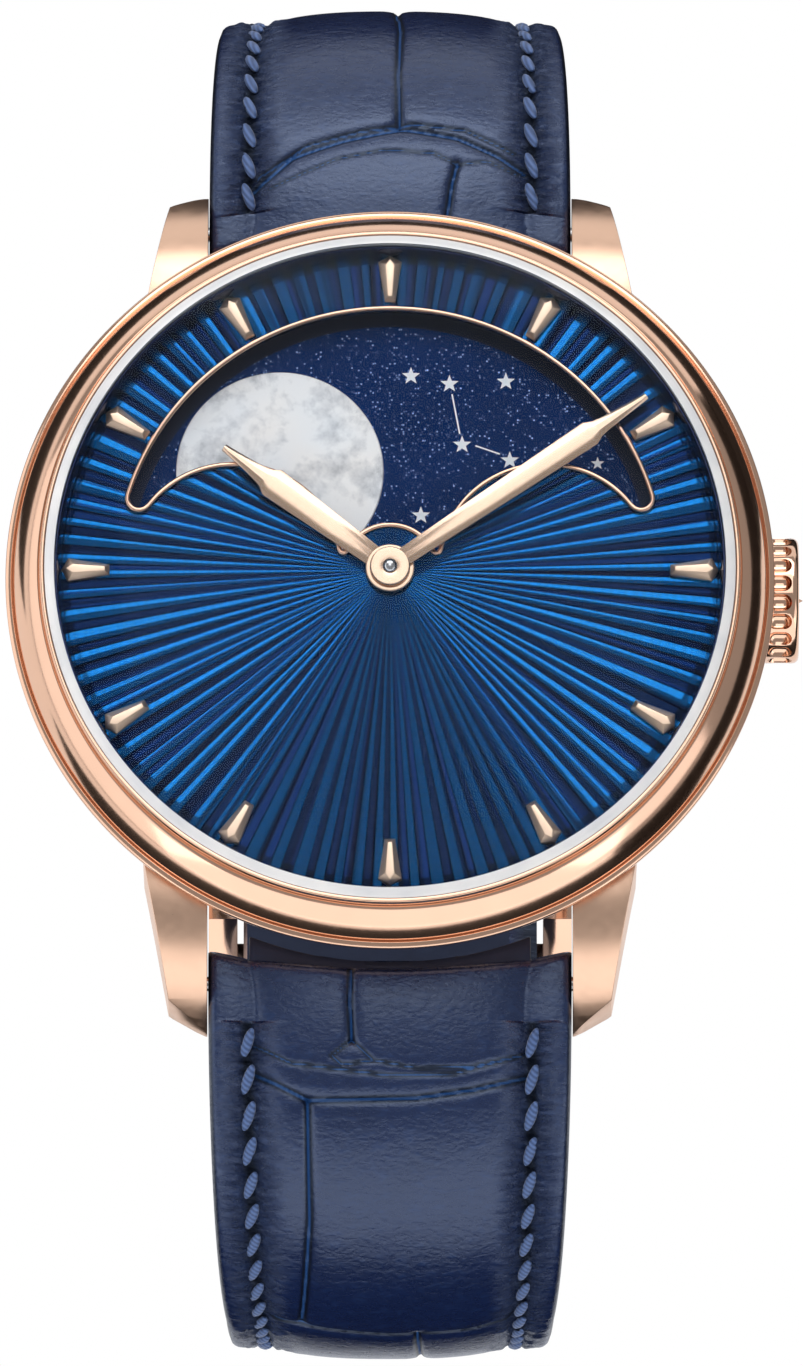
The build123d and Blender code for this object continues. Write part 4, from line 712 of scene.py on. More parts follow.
def makeBezel():
    b = bezelValues
    wide = b["stepRadius"] - b["ringRadius"]
    rise = b["ringHeight"] - b["stepHeight"]
    band = []
    for index in range(b["bulgeSteps"] + 1):  # the sloping band bulges most in its middle
        share = index / b["bulgeSteps"]
        out = 4 * b["bulge"] * share * (1 - share)
        band.append((b["stepRadius"] - wide * share + out, b["stepHeight"] + rise * share + out))
    rings = [
        (b["outer"] - b["rimBevel"], b["foot"]),
        (b["outer"], b["foot"] + b["rimBevel"]),
        (b["outer"], b["foot"] + b["rimHeight"]),
        (b["stepRadius"] + b["groove"], b["stepHeight"] + b["groove"] / 2),
        (b["stepRadius"], b["stepHeight"] - b["groove"]),
    ] + band + [
        (b["ringRadius"] - b["groove"], b["ringHeight"] - b["groove"]),
        (b["ringRadius"] - b["groove"], b["ringHeight"] + b["lipBevel"]),
        (b["lipRadius"] + b["lipBevel"], b["lipTop"]),
        (b["lipRadius"], b["lipTop"]),
        (b["lipRadius"], b["foot"] + rise),
        (b["bore"], b["foot"] + rise),
        (b["bore"], b["foot"]),
    ]
    piece = turned("bezelRing", rings, 256)
    soften(piece, b["bevel"], 2, 25)
    smooth(piece, 40)
    fit(piece, "watch", finishes["bezel"], "bezel")


crystalValues = {
    "radius": 18.9, "foot": 8.85, "shoulder": 9.8, "chamferRadius": 18.35, "chamferTop": 10.1, "top": 11.5,
    "hollowRadius": 18.4, "hollowEdge": 9.65, "hollowTop": 10.6, "lap": 0.02, "inset": 0.05, "bevel": 0.04,
    "domeSteps": 24,
}


def makeCrystal():
    c = crystalValues
    dome = domeRings(c["chamferRadius"], c["chamferTop"], c["top"], c["domeSteps"])
    hollow = domeRings(c["hollowRadius"], c["hollowEdge"], c["hollowTop"], c["domeSteps"])
    clear = turned("crystalDome", hollow[-2::-1] + dome)
    smooth(clear)
    fit(clear, "watch", finishes["crystal"], "front_crystal")
    edge = turned("crystalEdge", [
        (c["radius"], c["foot"]), (c["radius"], c["shoulder"]), (c["chamferRadius"] + c["lap"], c["chamferTop"]),
        (c["hollowRadius"] - c["inset"], c["hollowEdge"] + c["lap"]), (c["hollowRadius"], c["hollowEdge"]),
        (c["hollowRadius"], c["foot"]),
    ], 256)
    soften(edge, c["bevel"], 2, 20)
    smooth(edge, 40)
    # the edge ring gets the painted reflection
    fit(edge, "watch", finishes["crystalEdge"])


flangeValues = {"foot": 8.92, "top": 9.6, "footRadius": 17.98, "topRadius": 18.22, "outer": 18.35, "bevel": 0.03}


def makeFlange():
    f = flangeValues
    piece = turned("dialFlange", [
        (f["outer"], f["foot"]), (f["outer"], f["top"]), (f["topRadius"], f["top"]), (f["footRadius"], f["foot"]),
    ], 256)
    soften(piece, f["bevel"], 2)
    smooth(piece, 40)
    fit(piece, "watch", finishes["flange"], "dial_flange")


makeBezel()
makeCrystal()
makeFlange()
print("bezel, crystal and flange made")


dialValues = {
    "radius": 18.35, "top": 8.9, "thickness": 0.9, "bore": 1.1, "sectors": 4, "flutes": 24, "lines": 5,
    "slope": 13.0, "steep": 0.08, "steepShare": 0.07, "bend": 17.55, "rimDrop": 0.16, "seed": 11, "cut": 4,
    # brightSlopes and flatShine say which slopes get the painted highlight, and how much of it the flat faces get
    "widths": (0.8, 1.25), "slopeShares": (0.18, 0.34), "brightSlopes": (0.16, 0.30), "flatShine": 0.04,
    "opening": 15.0, "bump": 5.8, "orbit": 8.53, "bumpRise": 0.2, "centreArc": 2.55,
    "tipRound": 0.68, "rootRound": 0.26, "outlineStep": 0.25,
    "rimSize": 0.155, "rimInset": 0.03, "rimHeight": 8.97,
}


# where two circles meet, on the side that lies towards +Y
def meet(first, firstRadius, second, secondRadius):
    span = second - first
    along = (firstRadius ** 2 - secondRadius ** 2 + span.length_squared) / (2 * span.length)
    off = math.sqrt(max(0, firstRadius ** 2 - along ** 2))
    way = span.normalized()
    places = [first + way * along + Vector((-way.y, way.x)) * off * side for side in (-1, 1)]
    return max(places, key=lambda place: place.y)


def arcPoints(centre, radius, start, end, clockwise=False):
    begin, stop = [math.atan2(*(place - centre).yx) for place in (start, end)]
    if clockwise and stop > begin:
        stop -= 2 * math.pi
    if not clockwise and stop < begin:
        stop += 2 * math.pi
    count = max(3, int(abs(stop - begin) * radius / dialValues["outlineStep"]))
    angles = [begin + (stop - begin) * index / count for index in range(count)]
    return [centre + radius * Vector((math.cos(angle), math.sin(angle))) for angle in angles]


# the aperture's outline, anticlockwise, moved outwards by the given amount
def apertureOutline(grow=0.0):
    d = dialValues
    middle = Vector((0, 0))
    outer, bump, arc = d["opening"] + grow, d["bump"] - grow, d["centreArc"] - grow
    tip, root = d["tipRound"] + grow, d["rootRound"] + grow
    bumps = [Vector((side * d["orbit"], d["bumpRise"])) for side in (1, -1)]
    tips = [meet(middle, outer - tip, b, bump + tip) for b in bumps]
    roots = [meet(middle, arc + root, b, bump + root) for b in bumps]
    outerEnds = [t.normalized() * outer for t in tips]
    bumpTips = [b + (t - b).normalized() * bump for b, t in zip(bumps, tips)]
    bumpRoots = [b + (r - b).normalized() * bump for b, r in zip(bumps, roots)]
    arcRoots = [r.normalized() * arc for r in roots]
    arcs = [
        (middle, outer, outerEnds[0], outerEnds[1]), (tips[1], tip, outerEnds[1], bumpTips[1]),
        (bumps[1], bump, bumpTips[1], bumpRoots[1], True), (roots[1], root, bumpRoots[1], arcRoots[1]),
        (middle, arc, arcRoots[1], arcRoots[0], True), (roots[0], root, arcRoots[0], bumpRoots[0]),
        (bumps[0], bump, bumpRoots[0], bumpTips[0], True), (tips[0], tip, bumpTips[0], outerEnds[0]),
    ]
    return [point for one in arcs for point in arcPoints(*one)]


# a closed curve through the points, flat at the height of 0 or lifted to the given one
def outlineCurve(name, points, height=None):
    deselect()
    bpy.ops.curve.primitive_bezier_circle_add()
    piece = bpy.context.object
    piece.name = name
    curve = piece.data
    curve.dimensions = "2D" if height is None else "3D"
    curve.splines.clear()
    line = curve.splines.new("POLY")
    line.points.add(len(points) - 1)
    for knot, place in zip(line.points, points):
        knot.co = (place[0] * mm, place[1] * mm, (height or 0) * mm, 1)
    line.use_cyclic_u = True
    return piece


def asMesh(piece):
    hold(piece)
    bpy.ops.object.convert(target="MESH")
    return bpy.context.object


# a flat outline with a thickness, half of it on each side
def slab(name, points, thickness):
    piece = outlineCurve(name, points)
    piece.data.fill_mode = "BOTH"
    piece.data.extrude = thickness / 2 * mm
    return asMesh(piece)


# five lines for each flute: a sharp ridge, and the bends of its two slopes and of the flat between them
def fluteLines():
    d = dialValues
    chance = random.Random(d["seed"])
    pitch = 360 / (d["flutes"] * d["sectors"])
    widths = [chance.uniform(*d["widths"]) for flute in range(d["flutes"])]
    widths = [width * d["flutes"] / sum(widths) for width in widths]
    fall = math.tan(math.radians(d["slope"])) * math.radians(pitch) * d["bend"]
    steep = d["steepShare"]
    lines = []
    begin = 0.0
    for flute, width in enumerate(widths):
        first, last = [chance.uniform(*d["slopeShares"]) * width for slope in range(2)]
        drops = [0.0, first * fall, first * fall + d["steep"], last * fall + d["steep"], last * fall]
        shares = [0.0, first, first + steep, width - last - steep, width - last]
        for line in range(d["lines"]):
            shift = (begin + shares[line] - flute - line / d["lines"]) * pitch
            lines.append((flute * d["lines"] + line, shift, drops[line]))
        begin += width
    return lines


def makeDial():
    d = dialValues
    spokes = d["flutes"] * d["lines"]
    deselect()
    bpy.ops.mesh.primitive_circle_add(vertices=spokes * d["sectors"], radius=d["bend"] * mm, fill_type="TRIFAN")
    piece = bpy.context.object
    piece.name = "flutedDial"
    move(piece, z=d["top"])
    rim = sorted((v for v in piece.data.vertices if v.co.xy.length > mm), key=lambda v: math.atan2(v.co.y, v.co.x))
    order = [v.index for v in rim]
    for spoke, shift, drop in fluteLines():
        chosen = [order[sector * spokes + spoke] for sector in range(d["sectors"])]
        edit(piece)
        pick(piece, lambda point: point.index in chosen)
        slide(z=-drop)
        bpy.ops.transform.rotate(value=-math.radians(shift), orient_axis="Z", center_override=(0, 0, 0))
        done()
    editAll(piece, "EDGE")
    bpy.ops.mesh.region_to_loop()
    push(z=-d["rimDrop"])
    share = d["radius"] / d["bend"]
    scale(share, share)
    push()
    done()
    for point in piece.data.vertices:  # the new rim ring is flat, at the underside
        if point.select:
            point.co.z = (d["top"] - d["thickness"]) * mm
    edit(piece, "EDGE")
    push()
    bpy.ops.mesh.merge(type="CENTER")
    done()
    tidy(piece)
    cutter = slab("apertureCutter", apertureOutline(), d["cut"])
    move(cutter, z=d["top"])
    cutAway(piece, cutter)
    drill(piece, d["bore"], d["cut"], 0, 0, d["top"], 48)
    # marks the faces that get the painted highlight
    markFacetHighlights(piece)
    smooth(piece, 1)
    fit(piece, "watch", finishes["dial"], "dial")


# marks the painted highlight: a face that slopes gently round the axis gets all of it, a flat one a little, a steep
# one none
def markFacetHighlights(piece):
    gentle, steep = dialValues["brightSlopes"]
    facetHighlight = piece.data.attributes.new("facetHighlight", "FLOAT", "FACE")
    for face in piece.data.polygons:
        along = Vector((-face.center.y, face.center.x, 0)).normalized()
        slope = abs(face.normal.dot(along)) / max(0.01, face.normal.z)
        flat = dialValues["flatShine"] if slope <= gentle and face.normal.z > 0.9 else 0.0
        facetHighlight.data[face.index].value = 1.0 if gentle < slope < steep else flat


def makeApertureRim():
    d = dialValues
    piece = outlineCurve("apertureRim", apertureOutline(-d["rimInset"]), d["rimHeight"])
    piece.data.bevel_depth = d["rimSize"] * mm
    piece.data.bevel_resolution = 3
    piece = asMesh(piece)
    tidy(piece)
    smooth(piece, 60)
    fit(piece, "watch", finishes["polished"], "aperture_rim")


makeDial()
makeApertureRim()
print("dial made")


markerValues = {
    "count": 12, "outer": 17.95, "wideRadius": 17.60, "inner": 15.33, "wide": 1.30, "narrow": 0.58,
    "ridgeWide": 0.48, "ridgeNarrow": 0.24, "inset": 0.26, "foot": 8.62, "side": 9.05, "top": 9.30, "bevel": 0.025,
}


def makeMarkers():
    m = markerValues
    length = m["wideRadius"] - m["inner"]
    innerEnd, outerEnd, high = (m["inner"] + 0.1) * mm, (m["wideRadius"] - 0.1) * mm, (m["side"] + 0.05) * mm
    marker = block("marker", m["wide"], length)
    slide(y=m["inner"] + length / 2, z=m["foot"])
    pick(marker, lambda point: point.co.y < innerEnd)
    scale(x=m["narrow"] / m["wide"])
    pick(marker, lambda point: point.co.y > outerEnd)  # the outer end gets its point
    bpy.ops.mesh.select_mode(type="EDGE")
    bpy.ops.mesh.subdivide(number_cuts=1)
    pick(marker, lambda point: point.co.y > outerEnd and abs(point.co.x) < 0.05 * mm)
    slide(y=m["outer"] - m["wideRadius"])
    selectAll()
    push(z=m["side"] - m["foot"])
    push(z=m["top"] - m["side"])
    pick(marker, lambda point: point.co.z > high and point.co.y > outerEnd)
    scale(x=m["ridgeWide"] / m["wide"])
    slide(y=-m["inset"])
    pick(marker, lambda point: point.co.z > high and point.co.y < innerEnd)
    scale(x=m["ridgeNarrow"] / m["narrow"])
    slide(y=m["inset"])
    done()
    tidy(marker)
    soften(marker, m["bevel"], 2, 12)
    smooth(marker, 25)
    markers = [marker]
    for index in range(1, m["count"]):
        markers.append(copied(marker))
        turn(markers[-1], 360 * index / m["count"])
    piece = joined("hourMarkers", markers)
    fit(piece, "watch", finishes["marker"], "hour_markers")


makeMarkers()
print("hour markers made")


handValues = {
    "hour": {"length": 11.4, "base": 1.1, "wide": 1.75, "wideShare": 0.71, "foot": 9.22, "boss": 1.35,
             "bore": 0.81, "angle": -52.8},
    "minute": {"length": 17.07, "base": 1.0, "wide": 1.46, "wideShare": 0.78, "foot": 9.6, "boss": 1.1,
               "bore": 0.395, "angle": 55.3},
    "needle": 0.40, "hollow": 0.40, "edge": 0.16, "thickness": 0.25, "ridge": 0.34, "flankSteps": 8,
    "chamfer": 0.06, "lap": 0.05, "bevel": 0.018,
}


def makeHand(name, h, body, node):
    v = handValues
    wideAt = h["length"] * h["wideShare"]
    stations = [(0, h["base"]), (wideAt * 0.5, (h["base"] + h["wide"]) / 2), (wideAt, h["wide"])]
    for index in range(1, v["flankSteps"] + 1):  # hollow flanks from the widest place to the tip
        share = index / v["flankSteps"]
        width = h["wide"] + (v["needle"] - h["wide"]) * share ** v["hollow"]
        stations.append((wideAt + (h["length"] - wideAt) * share, width))
    before = stations[1]
    blade = block(name, h["base"], before[0])
    slide(y=before[0] / 2, z=h["foot"])
    pick(blade, lambda point: point.co.y > before[0] / 2 * mm)
    scale(x=before[1] / h["base"])
    for station in stations[2:]:
        bpy.ops.mesh.select_mode(type="EDGE")
        push(y=station[0] - before[0])
        scale(x=station[1] / before[1])
        before = station
    selectAll()
    push(z=v["edge"])
    push(z=v["thickness"] - v["edge"])
    scale(x=v["ridge"])
    done()
    tidy(blade)
    foot, top, core = h["foot"], h["foot"] + v["thickness"], h["boss"] - v["lap"]
    boss = turned("boss", [
        (h["boss"], foot), (h["boss"], top - v["chamfer"]), (h["boss"] - v["chamfer"], top), (h["bore"], top),
        (h["bore"], foot),
    ], 96)
    cutAway(blade, turned("bore", [(core, foot - 1), (core, foot + 2), (0, foot + 2)], 64))
    piece = joined(name, [blade, boss])
    tidy(piece)
    soften(piece, v["bevel"], 2, 14)
    smooth(piece, 25)
    turn(piece, -h["angle"])
    fit(piece, body, finishes["handGold"], node)


postValues = {"radius": 0.385, "foot": 9.4, "cheek": 9.93, "top": 10.1}


def makePost():
    p = postValues
    piece = turned("handPost", [(p["radius"], p["foot"])] + domeRings(p["radius"], p["cheek"], p["top"], 8), 48)
    smooth(piece, 50)
    fit(piece, "minute_hand", finishes["steel"])


makeHand("hourHand", handValues["hour"], "hour_hand", "hour_hand")
makeHand("minuteHand", handValues["minute"], "minute_hand", "minute_hand")
makePost()
print("hands made")


moonValues = {
    "radius": 14.3, "bore": 1.91, "foot": 7.15, "top": 7.65, "moon": 5.68, "orbit": 8.53, "angle": 135.0,
    "moonTop": 7.67, "moonFoot": 7.46, "gap": 0.01, "edge": 0.05, "bevel": 0.02, "cut": 1,
    "starHeight": 7.662, "starThick": 0.01, "star": 0.52, "smallStar": 0.38, "starWaist": 0.42, "line": 0.085,
    "stars": [(1.15, 11.49, 1), (3.26, 11.04, 1), (6.35, 11.17, 1), (3.95, 7.56, 1), (6.56, 6.66, 1),
              (11.37, 6.48, 0), (1.69, 3.51, 1)],
    "lines": [(3.40, 10.45, 3.82, 8.18), (4.68, 7.50, 6.02, 7.02)],
}


# the middles of the two moons, opposite each other
def moonPlaces():
    m = moonValues
    angles = [math.radians(m["angle"] + side) for side in (0, 180)]
    return [(m["orbit"] * math.cos(angle), m["orbit"] * math.sin(angle)) for angle in angles]


def makeMoonDisc():
    m = moonValues
    disc = turned("moonDisc", [
        (m["radius"], m["foot"]), (m["radius"], m["top"]), (m["bore"], m["top"]), (m["bore"], m["foot"]),
    ])
    for x, y in moonPlaces():
        drill(disc, m["moon"] + m["gap"], m["cut"], x, y, m["moonFoot"] - m["gap"] + m["cut"] / 2, 128)
    soften(disc, m["bevel"], 1)
    smooth(disc)
    fit(disc, "moon", finishes["aventurine"], "moon_disc")


def makeMoons():
    m = moonValues
    moons = []
    for x, y in moonPlaces():
        moons.append(turned("moon", [
            (m["moon"], m["moonFoot"]), (m["moon"], m["moonTop"] - m["edge"]), (m["moon"] - m["edge"], m["moonTop"]),
            (0, m["moonTop"]),
        ], 128))
        move(moons[-1], x, y)
    piece = joined("pearlMoons", moons)
    smooth(piece)
    fit(piece, "moon", finishes["pearl"], "moons")


def makeStar(size, x, y):
    m = moonValues
    deselect()
    bpy.ops.mesh.primitive_circle_add(vertices=10, radius=size * mm, fill_type="TRIFAN")
    star = bpy.context.object
    edit(star)
    # every second point is drawn in: those that lie halfway between the star's tips, 72 degrees apart
    pick(star, lambda point: point.co.length > 0.1 * mm
         and 1 < round(math.degrees(math.atan2(point.co.y, point.co.x)) - 90) % 72 < 71)
    scale(*[m["starWaist"]] * 3)
    selectAll()
    slide(x, y, m["starHeight"])
    push(z=-m["starThick"])
    done()
    return star


def makeStars():
    m = moonValues
    marks = [makeStar(m["star"] if big else m["smallStar"], x, y) for x, y, big in m["stars"]]
    for x1, y1, x2, y2 in m["lines"]:
        line = block("line", math.hypot(x2 - x1, y2 - y1), m["line"], m["starThick"])
        done()
        turn(line, math.degrees(math.atan2(y2 - y1, x2 - x1)))
        move(line, (x1 + x2) / 2, (y1 + y2) / 2, m["starHeight"] - m["starThick"] / 2)
        marks.append(line)
    near = joined("stars", marks)
    far = copied(near)
    turn(far, 180)
    piece = joined("printedStars", [near, far])
    tidy(piece)
    fit(piece, "moon", finishes["print"])


makeMoonDisc()
makeMoons()
makeStars()
print("moon disc made")


crownValues = {
    "radius": 3.43, "start": 20.3, "end": 22.4, "dome": 0.35, "rim": 0.36, "flutes": 20, "fluteRadius": 0.50,
    "fluteDepth": 0.34, "socket": 1.35, "socketEnd": 21.05, "bore": 0.51, "height": 3.06, "bevel": 0.04,
    "face": [(0.72, 0.0), (0.68, 0.06), (0.62, 0.06), (0.3, 0.02)],  # share of the radius, depth under the end
    "middle": 0.015,
}


def makeCrown():
    c = crownValues
    start, end, r, flute = c["start"], c["end"], c["radius"], c["fluteRadius"]
    rings = [(c["socket"], start), (r - c["dome"] / 2, start), (r, start + c["dome"] / 2), (r, end - c["dome"])]
    rings += arcRings(r - c["dome"], end - c["dome"], c["dome"], 20, 90, 4)
    rings += [(r * share, end - depth) for share, depth in c["face"]]
    rings += [(c["bore"] * 0.5, end - c["middle"]), (0, end - c["middle"])]
    body = turned("crown", rings, 240, shut=False)
    for point in body.data.vertices:
        point.select = point.co.z < (start + 0.001) * mm and abs(point.co.xy.length - c["socket"] * mm) < 0.01 * mm
    edit(body)
    push(z=c["socketEnd"] - start)
    bpy.ops.mesh.merge(type="CENTER")
    done()
    tidy(body)
    deselect()
    bpy.ops.mesh.primitive_uv_sphere_add(segments=24, ring_count=12, radius=flute * mm)
    groove = bpy.context.object
    edit(groove)
    pick(groove, lambda point: point.co.z > 0.001 * mm)
    slide(z=end - start - 2 * c["rim"] - 2 * flute)
    selectAll()
    slide(x=r + flute - c["fluteDepth"], z=start + c["rim"] + flute)
    bpy.ops.mesh.spin(steps=c["flutes"], dupli=True, angle=2 * math.pi, center=(0, 0, 0), axis=(0, 0, 1))
    done()
    cutAway(body, groove)
    soften(body, c["bevel"], 2, 35)
    smooth(body, 35)
    turn(body, 90, "Y")
    move(body, z=c["height"])
    fit(body, "crown", finishes["polished"], "crown")


makeCrown()
print("crown made")


caseValues = {
    "foot": 0.9, "footRadius": 19.0, "belly": 3.6, "bellyRadius": 20.0, "shoulder": 6.85, "topRadius": 20.2,
    "neckRadius": 19.3, "neckTop": 8.5, "bore": 18.65, "ledge": 2.0, "ledgeRadius": 16.9, "bevel": 0.06,
    "sideSteps": 12, "lugInside": 18.9, "lugBevel": 0.2, "lugWide": (9.0, 15.0), "lugTall": (-3.0, 9.0),
    "lugPlan": [(10.0, 13.0), (13.6, 13.0), (13.45, 15.8), (12.12, 22.68), (11.9, 22.84), (10.0, 23.95)],
    "lugTop": [(17.0, 6.2), (20.2, 6.0), (22.9, 3.6), (23.95, 0.35)], "lugSteps": 24,
    "lugUnder": [(23.9, -0.3), (23.6, -0.5), (22.4, -0.5), (21.2, -0.1), (20.0, 0.35), (18.8, 0.7),
                 (17.6, 0.9), (13.0, 0.9)],
    "lugRoot": (13.0, 6.4), "barY": 21.45, "barZ": 1.65, "barHole": 0.42, "barStart": 9.0, "barEnd": 11.05,
    "tubeHole": 0.97, "tubeHeight": 3.06, "tubeEnd": 23, "screws": 6, "screwCircle": 17.65, "screwHole": 0.37,
}


# the radius of the case's side at a height: a curve through its foot, belly and shoulder
def caseRadius(z):
    c = caseValues
    a, b, d = c["foot"], c["belly"], c["shoulder"]
    return (c["footRadius"] * (z - b) * (z - d) / ((a - b) * (a - d))
            + c["bellyRadius"] * (z - a) * (z - d) / ((b - a) * (b - d))
            + c["topRadius"] * (z - a) * (z - b) / ((d - a) * (d - b)))


def prism(points, low, high):
    piece = slab("prism", [Vector(point) for point in points], high - low)
    piece.data.transform(Matrix.Translation((0, 0, (high + low) / 2 * mm)))
    tidy(piece)
    return piece


def makeLug():
    c = caseValues
    top = []
    for step in range(c["lugSteps"] + 1):  # a curve drawn out by its four points
        t = step / c["lugSteps"]
        pull = ((1 - t) ** 3, 3 * t * (1 - t) ** 2, 3 * t * t * (1 - t), t ** 3)
        top.append([sum(part * point[axis] for part, point in zip(pull, c["lugTop"])) for axis in (0, 1)])
    lug = prism([c["lugRoot"]] + top + c["lugUnder"], *c["lugWide"])
    lug.data.transform(Matrix(((0, 0, 1), (1, 0, 0), (0, 1, 0))).to_4x4())
    combine(lug, prism(c["lugPlan"], *c["lugTall"]), "INTERSECT")
    tidy(lug)
    soften(lug, c["lugBevel"], 3, 40)
    cutAway(lug, turned("inside", [(c["lugInside"], -3), (c["lugInside"], 9), (0, 9)]))
    return lug


# a round bar across the watch
def rodX(radius, y, z, start, end):
    place = Matrix.Translation(((start + end) / 2 * mm, y * mm, z * mm)) @ Matrix.Rotation(math.pi / 2, 4, "Y")
    return bar(radius, end - start, place, 32)


def makeCase():
    c = caseValues
    steps = c["sideSteps"]
    heights = [c["foot"] + (c["shoulder"] - c["foot"]) * step / steps for step in range(steps + 1)]
    rings = [(c["ledgeRadius"], c["foot"])] + [(caseRadius(z), z) for z in heights] + [
        (c["neckRadius"], c["shoulder"]), (c["neckRadius"], c["neckTop"]), (c["bore"], c["neckTop"]),
        (c["bore"], c["ledge"]), (c["ledgeRadius"], c["ledge"]),
    ]
    case = turned("caseMiddle", rings, 256)
    soften(case, c["bevel"], 2, 40)
    lug = makeLug()
    cutAway(lug, rodX(c["barHole"], c["barY"], c["barZ"], c["barStart"], c["barEnd"]))
    for flipX, flipY in ((1, 1), (-1, 1), (1, -1), (-1, -1)):
        corner = copied(lug)
        corner.data.transform(Matrix.Diagonal((flipX, flipY, 1, 1)))
        tidy(corner)
        combine(case, corner, "UNION")
    bpy.data.objects.remove(lug)
    cutAway(case, rodX(c["tubeHole"], 0, c["tubeHeight"], c["ledgeRadius"], c["tubeEnd"]))
    for index in range(c["screws"]):
        angle = math.radians((index + 0.5) * 360 / c["screws"])
        drill(case, c["screwHole"], 4, c["screwCircle"] * math.cos(angle), c["screwCircle"] * math.sin(angle), 1, 24)
    smooth(case, 35)
    fit(case, "watch", finishes["case"], "case_middle")


makeCase()
print("case made")


# creases between the scales: places across and along the strap, then width, depth and the width of the soft dip
creasesTwelve = [
    ([(-7.6, 3.9), (-5.4, 6.0), (-2.6, 7.0), (0.6, 7.8), (3.7, 7.2), (5.8, 6.2), (7.4, 5.2)], 0.17, 0.22, 0.55),
    ([(-7.3, 4.8), (-4.6, 6.7), (-1.6, 7.6), (1.2, 8.1), (4.2, 7.7), (6.8, 6.4)], 0.10, 0.12, 0.40),
    ([(-6.6, 4.0), (-3.0, 5.7), (-0.3, 6.3), (2.4, 6.1), (3.7, 5.4)], 0.07, 0.07, 0.20),
    ([(0.5, 8.0), (0.45, 12.0), (0.6, 17.0), (0.35, 21.0), (0.6, 25.2)], 0.14, 0.22, 0.50),
    ([(3.7, 5.5), (3.4, 4.0), (3.1, 1.0)], 0.14, 0.20, 0.40),
    ([(3.8, 5.4), (5.4, 5.7), (7.0, 5.0)], 0.07, 0.07, 0.25),
    ([(-7.2, 24.6), (-3.0, 25.6), (0.6, 25.4), (4.0, 25.9), (7.2, 24.8)], 0.15, 0.20, 0.50),
    ([(-3.4, 25.6), (-3.2, 33.0), (-3.5, 40.8)], 0.14, 0.19, 0.45),
    ([(3.1, 25.8), (3.3, 33.0), (3.0, 41.0)], 0.14, 0.19, 0.45),
    ([(-7.0, 40.4), (-2.0, 41.2), (3.0, 40.9), (7.0, 41.4)], 0.14, 0.18, 0.45),
    ([(0.2, 41.0), (0.5, 48.0), (0.3, 54.5)], 0.13, 0.16, 0.40),
    ([(-6.6, 54.2), (0.4, 54.8), (6.6, 54.3)], 0.13, 0.16, 0.40),
    ([(-2.6, 54.6), (-2.5, 66.0)], 0.12, 0.14, 0.35),
    ([(2.9, 54.5), (2.8, 66.0)], 0.12, 0.14, 0.35),
    ([(-6.4, 66.2), (6.4, 65.9)], 0.12, 0.14, 0.35),
]
creasesSix = [
    ([(-7.5, 7.4), (-6.2, 8.0), (-4.5, 8.9), (-2.0, 8.85), (1.5, 8.75), (4.6, 8.3), (7.5, 7.6)], 0.16, 0.23, 0.50),
    ([(-7.4, 5.8), (-5.4, 6.8), (-3.2, 7.1), (0.0, 7.5), (3.5, 7.4), (7.4, 6.3)], 0.09, 0.09, 0.30),
    ([(-0.9, 6.65), (1.5, 7.1), (4.5, 7.0), (7.3, 6.3)], 0.08, 0.08, 0.25),
    ([(-2.15, 0.4), (-2.2, 3.0), (-2.1, 5.5)], 0.14, 0.22, 0.45),
    ([(-2.1, 5.5), (-3.2, 6.4), (-2.6, 6.9), (-0.9, 6.65), (-2.1, 5.5)], 0.08, 0.11, 0.20),
    ([(-4.5, 8.9), (-4.45, 12.5), (-4.4, 16.0), (-4.6, 20.5), (-4.85, 25.3)], 0.15, 0.23, 0.50),
    ([(-7.2, 25.2), (-4.8, 25.6), (0.0, 26.4), (4.5, 26.1), (7.3, 25.1)], 0.14, 0.19, 0.50),
    ([(1.5, 26.4), (1.7, 34.0), (1.4, 42.6)], 0.14, 0.19, 0.45),
    ([(-7.0, 42.4), (-2.0, 43.2), (3.0, 42.7), (7.0, 43.3)], 0.14, 0.18, 0.45),
    ([(-2.8, 43.1), (-2.6, 50.0), (-2.9, 57.8)], 0.13, 0.16, 0.40),
    ([(3.0, 42.8), (3.2, 50.0), (3.0, 58.0)], 0.13, 0.16, 0.40),
    ([(-6.6, 57.8), (0.4, 58.4), (6.6, 57.9)], 0.13, 0.16, 0.40),
    ([(-6.4, 95.0), (6.4, 95.4)], 0.12, 0.12, 0.35),
    ([(-6.4, 106.0), (6.4, 105.6)], 0.12, 0.12, 0.35),
    ([(0.2, 95.2), (0.3, 106.0)], 0.12, 0.12, 0.35),
]

